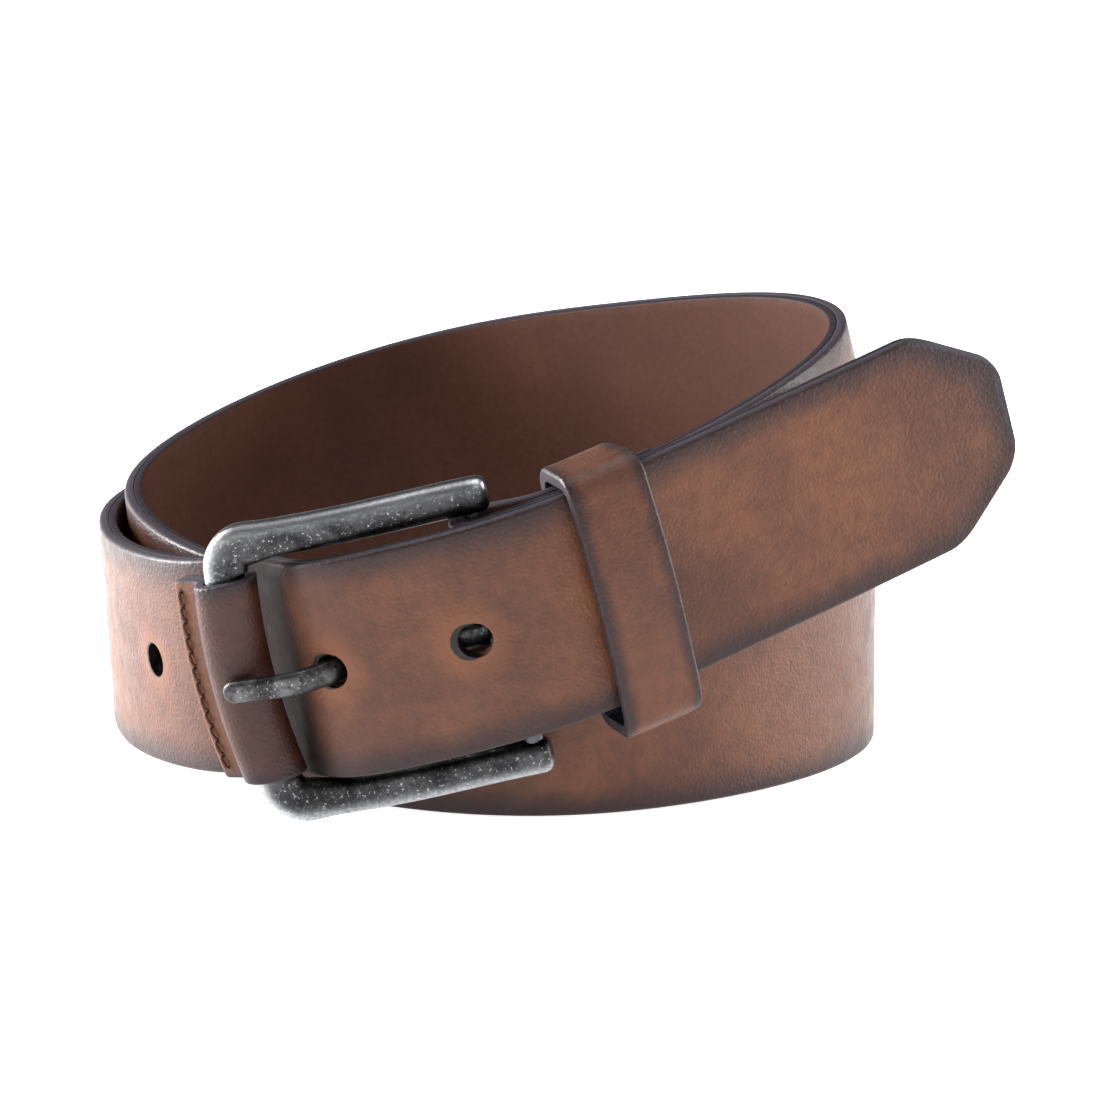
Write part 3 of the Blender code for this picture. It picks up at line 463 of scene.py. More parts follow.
def make_piece(name, verts, faces, look, sharp=STRAP_SHARP):
    """A smooth mesh object from millimetre points in the route's frame."""
    mesh = bpy.data.meshes.new(name)
    mesh.from_pydata([tuple(p) for p in (np.asarray(verts) + SHIFT) * MM], [], faces)
    work = bmesh.new()
    work.from_mesh(mesh)
    bmesh.ops.recalc_face_normals(work, faces=work.faces)
    work.to_mesh(mesh)
    work.free()
    made = add_object(name, mesh)
    if look is not None:
        mesh.materials.append(look)
    mesh.shade_smooth()
    mesh.set_sharp_from_angle(angle=math.radians(sharp))
    return made


def set_values(made, name, values):
    attribute = made.data.attributes.get(name) or made.data.attributes.new(name, "FLOAT", "POINT")
    attribute.data.foreach_set("value", np.asarray(values, np.float32))


def points_of(made):
    """A piece's points in the route's frame, in millimetres."""
    flat = np.zeros(len(made.data.vertices) * 3, np.float32)
    made.data.vertices.foreach_get("co", flat)
    return flat.reshape(-1, 3).astype(float) / MM - SHIFT


def loft(sections):
    """Skin through rings of equal point count, with flat ends."""
    sections = np.asarray(sections)
    rows, count = sections.shape[:2]
    faces = []
    for i in range(rows - 1):
        for j in range(count):
            k = (j + 1) % count
            faces.append((i * count + j, i * count + k, (i + 1) * count + k, (i + 1) * count + j))
    faces.append(tuple(range(count)))
    faces.append(tuple((rows - 1) * count + j for j in range(count)))
    return sections.reshape(-1, 3), faces


def closed_loft(sections):
    """Skin through rings that run round and meet: each ring joins the next, the last the first."""
    sections = np.asarray(sections)
    rows, count = sections.shape[:2]
    faces = []
    for i in range(rows):
        n = (i + 1) % rows
        for j in range(count):
            k = (j + 1) % count
            faces.append((i * count + j, i * count + k, n * count + k, n * count + j))
    return sections.reshape(-1, 3), faces


def cut(made, cutters):
    """Take closed cutters, given as points and faces, out of a piece with one boolean."""
    verts = []
    faces = []
    for points, sides in cutters:
        base = len(verts)
        verts += list(points)
        faces += [tuple(base + i for i in side) for side in sides]
    tool = make_piece(made.name + "_cutter", verts, faces, None)
    step = made.modifiers.new("cut", "BOOLEAN")
    step.object = tool
    graph = bpy.context.evaluated_depsgraph_get()
    mesh = bpy.data.meshes.new_from_object(made.evaluated_get(graph))
    made.modifiers.clear()
    made.data = mesh
    bpy.data.objects.remove(tool, do_unlink=True)
    mesh.shade_smooth()
    mesh.set_sharp_from_angle(angle=math.radians(STRAP_SHARP))


# ---------------------------------------------------------------- materials

class Nodes:
    """Short names for building one node material."""

    def __init__(self, name):
        self.look = bpy.data.materials.new(name)
        self.look.use_nodes = True
        self.tree = self.look.node_tree
        self.shader = self.tree.nodes["Principled BSDF"]

    def node(self, kind, **settings):
        made = self.tree.nodes.new(kind)
        for key, value in settings.items():
            setattr(made, key, value)
        return made

    def link(self, source, target):
        self.tree.links.new(source, target)

    def feed(self, socket, value):
        """Set a socket to a number or a colour, or link it to another node."""
        if isinstance(value, (int, float)):
            socket.default_value = value
        elif isinstance(value, tuple):
            socket.default_value = (*value, 1.0)
        else:
            self.link(value, socket)

    def attribute(self, name):
        return self.node("ShaderNodeAttribute", attribute_name=name).outputs["Fac"]

    def position(self, stretch=(1.0, 1.0, 1.0)):
        spot = self.node("ShaderNodeTexCoord").outputs["Object"]
        mapping = self.node("ShaderNodeMapping")
        mapping.inputs["Scale"].default_value = stretch
        self.link(spot, mapping.inputs["Vector"])
        return mapping.outputs["Vector"]

    def noise(self, scale, detail=3.0, rough=0.5, where=None):
        made = self.node("ShaderNodeTexNoise")
        made.inputs["Scale"].default_value = scale
        made.inputs["Detail"].default_value = detail
        made.inputs["Roughness"].default_value = rough
        self.link(where or self.position(), made.inputs["Vector"])
        return made.outputs["Fac"]

    def cells(self, scale, where=None, feature="F1"):
        made = self.node("ShaderNodeTexVoronoi", feature=feature)
        made.inputs["Scale"].default_value = scale
        self.link(where or self.position(), made.inputs["Vector"])
        return made.outputs["Distance"]

    def remap(self, value, low, high, to_low=0.0, to_high=1.0):
        made = self.node("ShaderNodeMapRange", interpolation_type="SMOOTHSTEP")
        for key, number in (("From Min", low), ("From Max", high), ("To Min", to_low),
                            ("To Max", to_high)):
            made.inputs[key].default_value = number
        self.link(value, made.inputs["Value"])
        return made.outputs["Result"]

    def math(self, operation, first, second):
        made = self.node("ShaderNodeMath", operation=operation)
        for socket, value in zip(made.inputs, (first, second)):
            self.feed(socket, value)
        return made.outputs["Value"]

    def mix(self, share, first, second, blend="MIX"):
        made = self.node("ShaderNodeMix", data_type="RGBA", blend_type=blend)
        sockets = (made.inputs[0], made.inputs[6], made.inputs[7])
        for socket, value in zip(sockets, (share, first, second)):
            self.feed(socket, value)
        return made.outputs[2]

    def bump(self, height, distance, strength=1.0, after=None):
        made = self.node("ShaderNodeBump")
        made.inputs["Strength"].default_value = strength
        made.inputs["Distance"].default_value = distance
        self.link(height, made.inputs["Height"])
        if after is not None:
            self.link(after, made.inputs["Normal"])
        return made.outputs["Normal"]

    def wear(self, **values):
        """Set the shader's sockets, named with _ for each space."""
        for key, value in values.items():
            self.feed(self.shader.inputs[key.replace("_", " ")], value)
        return self.look


def srgb(red, green, blue):
    """A colour in the renderer's linear values from its usual 0 to 255 ones."""
    def one(value):
        value /= 255.0
        return value / 12.92 if value <= 0.04045 else ((value + 0.055) / 1.055) ** 2.4
    return one(red), one(green), one(blue)


def leather_grain(n):
    """Surface relief of finished full-grain leather: pores, hair cells and soft unevenness."""
    pebbles = n.cells(1700.0, feature="SMOOTH_F1")
    pores = n.noise(2600.0, 4.0, 0.6)
    soft = n.noise(95.0, 3.0, 0.55)
    relief = n.bump(soft, 0.0003, 0.2)
    relief = n.bump(pebbles, 0.0002, 0.5, relief)
    return n.bump(pores, 0.00012, 0.6, relief)


def grain_leather(name, light, mid, dark, burnish_to=6.5):
    """Burnished brown leather: mottled middle, dark rubbed borders and painted edges."""
    n = Nodes(name)
    clouds = n.noise(34.0, 4.0, 0.6)
    mottle = n.noise(420.0, 5.0, 0.7)
    colour = n.mix(n.remap(clouds, 0.38, 0.66), mid, light)
    colour = n.mix(n.remap(mottle, 0.35, 0.75, 0.0, 0.38), colour, dark)
    border = n.attribute("edge_mm")
    wander = n.math("MULTIPLY", n.math("SUBTRACT", n.noise(120.0, 3.0, 0.6), 0.5), 3.0)
    border = n.math("ADD", border, wander)
    colour = n.mix(n.remap(border, 0.4, burnish_to, 0.9, 0.0), colour, srgb(32, 18, 22))
    halo = n.attribute("hole_mm")
    colour = n.mix(n.remap(halo, 3.2, 9.0, 0.42, 0.0), colour, srgb(128, 76, 44))
    paint = n.remap(n.attribute("paint"), 0.25, 0.75)
    lines = n.noise(700.0, 4.0, 0.7)
    edge_colour = n.mix(lines, srgb(24, 20, 26), srgb(58, 52, 60))
    colour = n.mix(paint, colour, edge_colour)
    # painted shade: the walls of punched holes and the spots of stitch holes are darkened nearly
    # to black for the shade inside them
    colour = n.mix(n.remap(halo, 3.05, 3.35, 1.0, 0.0), colour, srgb(10, 7, 6))
    shade = n.remap(n.attribute("shade"), 0.0, 1.0, 0.0, 0.96)
    colour = n.mix(shade, colour, srgb(14, 7, 6))
    rough = n.remap(n.noise(260.0, 3.0, 0.6), 0.3, 0.7, 0.34, 0.48)
    rough = n.math("ADD", rough, n.math("MULTIPLY", paint, 0.22))
    rough = n.math("ADD", rough, n.math("MULTIPLY", shade, 0.6))
    return n.wear(Base_Color=colour, Roughness=rough, Normal=leather_grain(n),
                  Coat_Weight=0.03, Coat_Roughness=0.3, Specular_IOR_Level=0.25)


def lining_leather():
    """Smooth dark lining with a faint nap."""
    n = Nodes("lining_leather")
    clouds = n.noise(26.0, 4.0, 0.6)
    nap = n.noise(900.0, 4.0, 0.7)
    colour = n.mix(n.remap(clouds, 0.35, 0.68), srgb(62, 36, 27), srgb(72, 43, 32))
    colour = n.mix(n.remap(nap, 0.3, 0.8, 0.0, 0.3), colour, srgb(46, 26, 20))
    paint = n.remap(n.attribute("paint"), 0.25, 0.75)
    colour = n.mix(paint, colour, srgb(34, 28, 34))
    halo = n.attribute("hole_mm")
    # painted shade: the walls of punched holes are darkened for the shade inside them
    colour = n.mix(n.remap(halo, 2.9, 3.35, 1.0, 0.0), colour, srgb(20, 13, 11))
    relief = n.bump(n.noise(1500.0, 4.0, 0.65), 0.00008, 0.5)
    rough = n.remap(nap, 0.3, 0.7, 0.58, 0.72)
    return n.wear(Base_Color=colour, Roughness=rough, Normal=relief, Specular_IOR_Level=0.12)


def antique_metal(name, bright, dark):
    """Cast gunmetal, blackened and rubbed back to bright specks on its high places."""
    n = Nodes(name)
    clouds = n.noise(170.0, 4.0, 0.65)
    specks = n.noise(1500.0, 5.0, 0.75)
    colour = n.mix(n.remap(clouds, 0.36, 0.68), dark, bright)
    colour = n.mix(n.remap(specks, 0.56, 0.72, 0.0, 0.85), colour, srgb(168, 168, 170))
    pits = n.remap(n.cells(620.0), 0.0, 0.34, 0.8, 0.0)
    colour = n.mix(pits, colour, srgb(26, 27, 29))
    rubbed = n.attribute("rubbed")
    colour = n.mix(n.math("MULTIPLY", rubbed, n.remap(specks, 0.3, 0.6, 0.45, 0.9)), colour,
                   srgb(190, 192, 196))
    rough = n.remap(specks, 0.3, 0.7, 0.42, 0.26)
    relief = n.bump(clouds, 0.0005, 0.45)
    relief = n.bump(specks, 0.00013, 0.5, relief)
    return n.wear(Base_Color=colour, Metallic=1.0, Roughness=rough, Normal=relief)


def steel_wire(name):
    """Plain drawn steel."""
    n = Nodes(name)
    drawn = n.noise(1400.0, 3.0, 0.6, n.position((1.0, 1.0, 0.08)))
    colour = n.mix(drawn, srgb(52, 52, 55), srgb(86, 86, 90))
    rough = n.remap(drawn, 0.3, 0.7, 0.28, 0.42)
    return n.wear(Base_Color=colour, Metallic=1.0, Roughness=rough,
                  Normal=n.bump(drawn, 0.00005, 0.4))


def waxed_thread():
    """Twisted brown thread."""
    n = Nodes("waxed_thread")
    twist = n.node("ShaderNodeTexWave", bands_direction="DIAGONAL")
    twist.inputs["Scale"].default_value = 900.0
    twist.inputs["Distortion"].default_value = 1.5
    n.link(n.position(), twist.inputs["Vector"])
    strand = twist.outputs["Fac"]
    colour = n.mix(strand, srgb(54, 26, 16), srgb(98, 52, 32))
    return n.wear(Base_Color=colour, Roughness=0.62, Normal=n.bump(strand, 0.00012, 0.8),
                  Specular_IOR_Level=0.3)


# ---------------------------------------------------------------- the strap

def skive_share(to_end):
    return SKIVE_LEFT + (1.0 - SKIVE_LEFT) * min(1.0, to_end / SKIVE_LENGTH)


def folded_point(length):
    """Edge of the folded-back end, this far from the heel bar."""
    spread = float(1.0 - smooth(length / FOLD_CLOSE))
    drop = LAYER + (2.0 * BEND_RADIUS - LAYER) * spread
    return ROUTE.edge(length) - ROUTE.outward(length) * drop


def tip_inset(to_end):
    """How far each edge of the tip is cut in, with both corners eased."""
    slope = (STRAP_WIDTH - TIP_WIDTH) / 2.0 / TIP_CLIP
    short = TIP_CLIP - to_end
    if short <= -TIP_ROUND:
        inset = 0.0
    elif short < TIP_ROUND:
        inset = slope * (short + TIP_ROUND) ** 2 / (4.0 * TIP_ROUND)
    else:
        inset = slope * short
    if to_end < TIP_ROUND:
        inset += TIP_ROUND - math.sqrt(max(0.0, TIP_ROUND ** 2 - (TIP_ROUND - to_end) ** 2))
    return inset


def fold_stations():
    """Length, edge point, width direction, thickness share and inset of the folded-back end."""
    stations = []
    for i in range(FOLD_STATIONS):
        length = FOLD_LENGTH * (1.0 - i / FOLD_STATIONS)
        share = skive_share(FOLD_LENGTH - length)
        stations.append((-BEND_LENGTH - length, folded_point(length), ROUTE.width_way(length),
                         share, 0.0))
    return stations


def bend_stations():
    """The half turn round the heel bar."""
    out = ROUTE.outward(0.0)
    ahead = ROUTE.along(0.0)
    centre = ROUTE.edge(0.0) - out * BEND_RADIUS
    stations = []
    for i in range(BEND_STATIONS):
        turn = math.pi * i / BEND_STATIONS
        point = centre - BEND_RADIUS * (out * math.cos(turn) + ahead * math.sin(turn))
        stations.append((-BEND_LENGTH * (1.0 - i / BEND_STATIONS), point, ROUTE.width_way(0.0),
                         1.0, 0.0))
    return stations


def coil_stations():
    """Stations from the heel bar to the tip, closer together in the buckle and at the tip."""
    fine_from = ROUTE.at_bearing(FINE_BEARING)
    lengths = []
    length = 0.0
    while length < STRAP_END - TIP_CLIP - 2.0 * TIP_ROUND:
        lengths.append(length)
        length += FINE_STEP if fine_from < length < TOP_HEEL_AT else COARSE_STEP
    start = lengths[-1] + FINE_STEP
    lengths += list(np.linspace(start, STRAP_END - TIP_ROUND, TIP_STATIONS, endpoint=False))
    lengths += [STRAP_END - TIP_ROUND * (1.0 - math.sin(math.pi / 2.0 * i / TIP_END_STATIONS))
                for i in range(TIP_END_STATIONS + 1)]
    return [(s, ROUTE.edge(s), ROUTE.width_way(s), 1.0, tip_inset(STRAP_END - s)) for s in lengths]


def rounding(radius, steps):
    """Quarter turn of an eased edge: how far in and how far down, from side to face."""
    turns = [math.pi / 2.0 * i / steps for i in range(steps + 1)]
    return [(radius * (1.0 - math.cos(t)), radius * (1.0 - math.sin(t))) for t in turns]


def ply_outline(inset, inner, outer, inner_round, outer_round, columns):
    """Closed outline of one ply: across the strap and up from the lining face."""
    low = inset
    high = STRAP_WIDTH - inset
    far_edge = rounding(outer_round, OUTER_EDGE_STEPS)
    near_edge = rounding(inner_round, INNER_EDGE_STEPS)
    shape = [(low + a, outer - b) for a, b in far_edge]
    span = high - low - 2.0 * outer_round
    shape += [(low + outer_round + span * i / columns, outer) for i in range(1, columns)]
    shape += [(high - a, outer - b) for a, b in reversed(far_edge)]
    shape += [(high - a, inner + b) for a, b in near_edge]
    span = high - low - 2.0 * inner_round
    shape += [(high - inner_round - span * i / columns, inner) for i in range(1, columns)]
    shape += [(low + a, inner + b) for a, b in reversed(near_edge)]
    return shape


def strap_edge_distance(across, length):
    """Distance from the nearest cut edge of the strap, millimetres."""
    to_end = STRAP_END - length
    side = np.minimum(across, STRAP_WIDTH - across)
    cut_in = (STRAP_WIDTH - TIP_WIDTH) / 2.0
    clip = (side * TIP_CLIP + to_end * cut_in - cut_in * TIP_CLIP) / math.hypot(cut_in, TIP_CLIP)
    return np.maximum(np.minimum(np.minimum(side, to_end), clip), 0.0)


def round_cutter(length):
    """A round punch at this length of the strap."""
    centre = ROUTE.middle(length)
    out = ROUTE.outward(length)
    ahead = ROUTE.along(length)
    wide = unit(np.cross(out, ahead))
    reach = STRAP_THICK / 2.0 + HOLE_CUT_PAST
    radius = HOLE_DIAMETER / 2.0
    turns = [2.0 * math.pi * i / HOLE_FACETS for i in range(HOLE_FACETS)]
    sections = [[centre + radius * (ahead * math.cos(t) + wide * math.sin(t)) + out * side
                 for t in turns] for side in (-reach, reach)]
    return loft(sections)


def slot_cutter():
    """A bent bar that clears the prong's eye out of the folded strap."""
    stations = [folded_point(SLOT_UNDER_BAR * (1.0 - i / 4)) for i in range(4)]
    wides = [ROUTE.width_way(SLOT_UNDER_BAR * (1.0 - i / 4)) for i in range(4)]
    for _, point, wide, _, _ in bend_stations()[::2]:
        stations.append(point)
        wides.append(wide)
    for i in range(5):
        stations.append(ROUTE.edge(SLOT_PAST_BAR * i / 4))
        wides.append(ROUTE.width_way(SLOT_PAST_BAR * i / 4))
    reach = STRAP_THICK / 2.0 + SLOT_CUT_PAST
    middle = HALF_WIDTH + PRONG_SIDE
    sections = []
    for i, (point, wide) in enumerate(zip(stations, wides)):
        way = unit(stations[min(i + 1, len(stations) - 1)] - stations[max(i - 1, 0)])
        out = unit(np.cross(way, wide))
        sections.append([point + wide * (middle + a) + out * b for a, b in
                         ((-SLOT_HALF, -reach), (-SLOT_HALF, reach), (SLOT_HALF, reach),
                          (SLOT_HALF, -reach))])
    return loft(sections)


def build_ply(name, inner, outer, inner_round, outer_round, columns, look):
    """One ply of the strap, punched, with its edge, hole and paint distances stored on it."""
    stations = fold_stations() + bend_stations() + coil_stations()
    points = np.array([s[1] for s in stations])
    wides = np.array([s[2] for s in stations])
    lengths = np.array([s[0] for s in stations])
    ways = np.empty_like(points)
    ways[1:-1] = points[2:] - points[:-2]
    ways[0] = points[1] - points[0]
    ways[-1] = points[-1] - points[-2]
    ways = unit(ways)
    outs = unit(np.cross(ways, wides))
    sections = []
    for i, (_, point, wide, share, inset) in enumerate(stations):
        shape = ply_outline(inset, inner, outer, inner_round, outer_round, columns)
        sections.append([point + wide * across + outs[i] * (share * up - STRAP_THICK / 2.0)
                         for across, up in shape])
    verts, faces = loft(sections)
    made = make_piece(name, verts, faces, look)
    cut(made, [slot_cutter()] + [round_cutter(length) for length in HOLES])
    tree = KDTree(len(verts))
    for i, point in enumerate(verts):
        tree.insert(point, i)
    tree.balance()
    width = len(sections[0])
    found = points_of(made)
    rows = np.array([tree.find(point)[1] // width for point in found])
    away = found - points[rows]
    across = np.einsum("ij,ij->i", away, wides[rows])
    up = np.einsum("ij,ij->i", away, outs[rows]) + STRAP_THICK / 2.0
    along = lengths[rows] + np.einsum("ij,ij->i", away, ways[rows])
    edge = strap_edge_distance(across, along)
    hole = np.min([np.hypot(along - length, across - HALF_WIDTH) for length in HOLES], axis=0)
    dive = ROUTE.at_bearing(DIP_BEARING)
    past = np.where(along < dive, (dive - along) * SHADE_BEHIND, along - dive)
    beside = np.clip((SHADE_TO - past) / (SHADE_TO - SHADE_FROM), 0.0, 1.0)
    set_values(made, "shade", smooth(beside))
    face = outer if outer_round > inner_round else inner
    set_values(made, "edge_mm", edge)
    set_values(made, "hole_mm", hole)
    glue = np.abs(up - face) / GLUE_PAINT * (edge < GLUE_PAINT_WITHIN)
    set_values(made, "paint", np.clip(np.maximum(1.0 - edge / EDGE_PAINT, glue), 0.0, 1.0))
    return made


def build_strap():
    """Both plies: the grain outside, the lining inside."""
    grain_look = grain_leather("grain_leather", srgb(98, 58, 38), srgb(76, 43, 30),
                               srgb(44, 24, 19))
    lining_look = lining_leather()
    grain = build_ply("strap_outside", LINING_PLY + GLUE_LINE, STRAP_THICK, PLY_GROOVE,
                      GRAIN_ROUND, GRAIN_COLUMNS, grain_look)
    lining = build_ply("strap_inside", 0.0, LINING_PLY, LINING_ROUND, PLY_GROOVE,
                       LINING_COLUMNS, lining_look)
    for piece, node, slot in ((grain, "strap_grain", "grain_leather"),
                              (lining, "strap_lining", "lining_leather")):
        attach(piece, "strap")
        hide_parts(node)


# ---------------------------------------------------------------- the buckle

def bow(v):
    """How far the front bar falls back from its crown at height v off its middle."""
    return FRONT_BAR_BOW * (v / (FRAME_HEIGHT / 2.0 - CORNER_RADIUS)) ** 2


def frame_line():
    """Centre line of the cast frame, as u and v."""
    corner_v = ARM_CENTRE - CORNER_RADIUS
    corner_u = -FRONT_BAR_REACH + bow(corner_v) + CORNER_RADIUS
    arm = corner_u - ARM_PAST_BAR
    reaches = [depth for depth, _ in ARM_END] + list(
        np.linspace(ARM_STATIONS_FROM, -arm * SPAN_SHARE, ARM_STATIONS))
    line = [(ARM_PAST_BAR - reach, ARM_CENTRE) for reach in reaches]
    for i in range(CORNER_STATIONS + 1):
        turn = math.pi / 2.0 * i / CORNER_STATIONS
        line.append((corner_u - CORNER_RADIUS * math.sin(turn),
                     corner_v + CORNER_RADIUS * math.cos(turn)))
    bar = np.linspace(SPAN_SHARE, 0.0, BAR_STATIONS)
    line += [(-FRONT_BAR_REACH + bow(corner_v * s), corner_v * s) for s in bar]
    return line + [(u, -v) for u, v in reversed(line[:-1])]


def arm_height(u):
    """Height of the frame's centre out of the buckle plane: a shallow arch."""
    reach = -u / FRONT_BAR_REACH
    if reach <= 0.0:
        return 0.0
    return ARM_ARCH * math.sin(math.pi * min(reach, 1.0)) ** 2 + FRONT_BAR_LIFT * reach


def frame_size(u, v):
    """Inner half width, outer half width and thickness of the frame at a place."""
    front = float(smooth((-u - FRONT_BAR_REACH + FRONT_BLEND_FROM) / FRAME_BLEND))
    outer = ARM_WIDTH / 2.0 + (FRONT_BAR_WIDTH - ARM_WIDTH) / 2.0 * front
    corner = math.hypot(u + FRONT_BAR_REACH - CORNER_RADIUS, abs(v) - ARM_CENTRE + CORNER_RADIUS)
    web = CORNER_WEB * max(0.0, 1.0 - (corner - CORNER_RADIUS) / WEB_LENGTH) ** 2
    if abs(v) < ARM_CENTRE - CORNER_RADIUS:
        web = 0.0
    heel = float(smooth((u + HEEL_BLEND_FROM) / FRAME_BLEND))
    thick = FRONT_BAR_THICK + (ARM_THICK - FRONT_BAR_THICK) * (1.0 - front)
    inner = min(outer + min(web, CORNER_WEB), CORNER_RADIUS - CORNER_EASE)
    return inner, outer, thick + (ARM_HEEL_THICK - ARM_THICK) * heel


def oval(turn, half_in, half_out, half_high, squareness):
    """Point of a squared oval section: across, positive inwards, and up."""
    power = 2.0 / squareness
    across = math.copysign(abs(math.cos(turn)) ** power, math.cos(turn))
    up = math.copysign(abs(math.sin(turn)) ** power, math.sin(turn))
    return across * (half_in if across > 0.0 else half_out), up * half_high


def build_frame():
    """The cast frame; "rubbed" is where handling has polished it, on its outer shoulders."""
    line = frame_line()
    last = len(line) - 1
    sections = []
    rubbed = []
    for i, (u, v) in enumerate(line):
        before = line[max(i - 1, 0)]
        after = line[min(i + 1, last)]
        du, dv = after[0] - before[0], after[1] - before[1]
        size = math.hypot(du, dv)
        inward = (-dv / size, du / size)
        half_in, half_out, thick = frame_size(u, v)
        to_end = min(i, last - i)
        ease = ARM_END[to_end][1] if to_end < len(ARM_END) else 1.0
        ring = []
        for j in range(FRAME_FACETS):
            turn = 2.0 * math.pi * (j + 0.5) / FRAME_FACETS
            across, up = oval(turn, half_in * ease, half_out * ease, thick / 2.0 * ease,
                              FRAME_SQUARENESS)
            ring.append(place(u + inward[0] * across, v + inward[1] * across + BUCKLE_DROP,
                              arm_height(u) + up))
            shoulder = math.cos(turn - math.radians(SHOULDER_TURN))
            rubbed.append(max(0.0, shoulder) ** SHOULDER_NARROW)
        sections.append(ring)
    look = antique_metal("gunmetal_cast", srgb(62, 62, 63), srgb(30, 30, 31))
    made = make_piece("buckle_casting", *loft(sections), look, PIECE_SHARP)
    set_values(made, "rubbed", rubbed)
    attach(made, "buckle")
    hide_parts("buckle_frame")


def curve_through(points, per_span):
    """Smooth line through a list of points (Catmull-Rom)."""
    points = [np.array(p) for p in points]
    padded = [2 * points[0] - points[1]] + points + [2 * points[-1] - points[-2]]
    line = []
    for i in range(1, len(padded) - 2):
        a, b, c, d = padded[i - 1:i + 3]
        for t in np.linspace(0.0, 1.0, per_span, endpoint=False):
            line.append(0.5 * (2 * b + (c - a) * t + (2 * a - 5 * b + 4 * c - d) * t * t
                               + (3 * b - a - 3 * c + d) * t ** 3))
    line.append(points[-1])
    return line


def prong_bends():
    """The prong's bends in the buckle's u and n, from its eye to its nose."""
    hole_u = float(np.dot(TO_PRONG_HOLE, ALONG_BUCKLE))
    hole_n = float(np.dot(TO_PRONG_HOLE, OUT_OF_BUCKLE))
    crown = FRONT_BAR_LIFT + FRONT_BAR_THICK / 2.0 + SLEEVE_CLEARANCE + SLEEVE_LEATHER
    bends = [(-left, up) for left, up in PRONG_FROM_EYE]
    bends += [(hole_u - left, hole_n + up) for left, up in PRONG_FROM_HOLE]
    bends += [(-FRONT_BAR_REACH - left, crown + up) for left, up in PRONG_FROM_BAR]
    return bends


def build_prong():
    """The prong, flattened on top, with a domed nose and a rolled eye round the heel bar."""
    line = curve_through(prong_bends(), PRONG_PER_SPAN)
    steps = [float(np.linalg.norm(b - a)) for a, b in zip(line[:-1], line[1:])]
    travelled = np.concatenate([[0.0], np.cumsum(steps)])
    total = travelled[-1]
    nose_turns = np.linspace(0.0, PRONG_NOSE_TURN, PRONG_NOSE_STATIONS)
    stops = np.concatenate([
        np.linspace(0.0, total - PRONG_END_ROUND, PRONG_STATIONS, endpoint=False),
        total - PRONG_END_ROUND * (1.0 - np.sin(nose_turns))])
    spots = np.array(line)

    def at(s):
        return np.array([np.interp(s, travelled, spots[:, k]) for k in range(2)])

    sections = []
    rubbed = []
    for stop in stops:
        if PRONG_HEADING_END < stop < total - PRONG_HEADING_END:
            way = unit(at(stop + PRONG_HEADING) - at(stop - PRONG_HEADING))
        else:
            way = unit(at(min(stop + PRONG_HEADING, total))
                       - at(max(stop - PRONG_HEADING_BACK, 0.0)))
        up_way = np.array([way[1], -way[0]])
        share = 1.0 + (PRONG_TIP_SHARE - 1.0) * stop / total
        nose = min(1.0, (total - stop) / PRONG_END_ROUND)
        nose = max(PRONG_NOSE_LEAST, math.sqrt(1.0 - (1.0 - nose) ** 2))
        ring = []
        for j in range(PRONG_FACETS):
            turn = 2.0 * math.pi * (j + 0.5) / PRONG_FACETS
            half = PRONG_WIDTH / 2.0 * share * nose
            across, up = oval(turn, half, half, PRONG_THICK / 2.0 * share * nose,
                              PRONG_SQUARENESS)
            spot = at(stop) + up_way * up
            ring.append(place(spot[0], PRONG_SIDE + across, spot[1]))
            topside = max(0.0, math.cos(turn + math.pi / 2.0))
            rubbed.append(topside ** PRONG_RUBBED_NARROW * PRONG_RUBBED)
        sections.append(ring)
    look = antique_metal("gunmetal_prong", srgb(92, 92, 93), srgb(44, 44, 45))
    made = make_piece("prong_bar", *loft(sections), look, PIECE_SHARP)
    set_values(made, "rubbed", rubbed)
    eye = make_piece("prong_eye", *closed_loft(eye_sections()), look, PIECE_SHARP)
    set_values(eye, "rubbed", np.full(len(eye.data.vertices), EYE_RUBBED))
    for piece in (made, eye):
        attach(piece, "prong")
    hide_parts("prong")


def eye_sections():
    """The rolled ring of the prong round the heel bar."""
    inner = EYE_RADIUS
    outer = EYE_RADIUS + EYE_WALL
    half = PRONG_WIDTH / 2.0
    outline = [(inner, -half), (outer - EYE_SOFT, -half), (outer, -half + EYE_SOFT),
               (outer, half - EYE_SOFT), (outer - EYE_SOFT, half), (inner, half)]
    sections = []
    for i in range(EYE_FACETS):
        turn = 2.0 * math.pi * i / EYE_FACETS
        sections.append([place(r * math.cos(turn), PRONG_SIDE + v, r * math.sin(turn))
                         for r, v in outline])
    return sections


# ---------------------------------------------------------------- the sleeve

def sleeve_place(u, v, n):
    """A point of the sleeve section carried onto the bowed front bar."""
    return place(u - FRONT_BAR_REACH + bow(v), v + BUCKLE_DROP, n + FRONT_BAR_LIFT)


def flange_ways():
    """The flange's own way out of the sleeve, and the way through its thickness."""
    turn = math.radians(FLANGE_ANGLE)
    way = np.array([math.cos(turn), math.sin(turn)])
    return way, np.array([-way[1], way[0]])


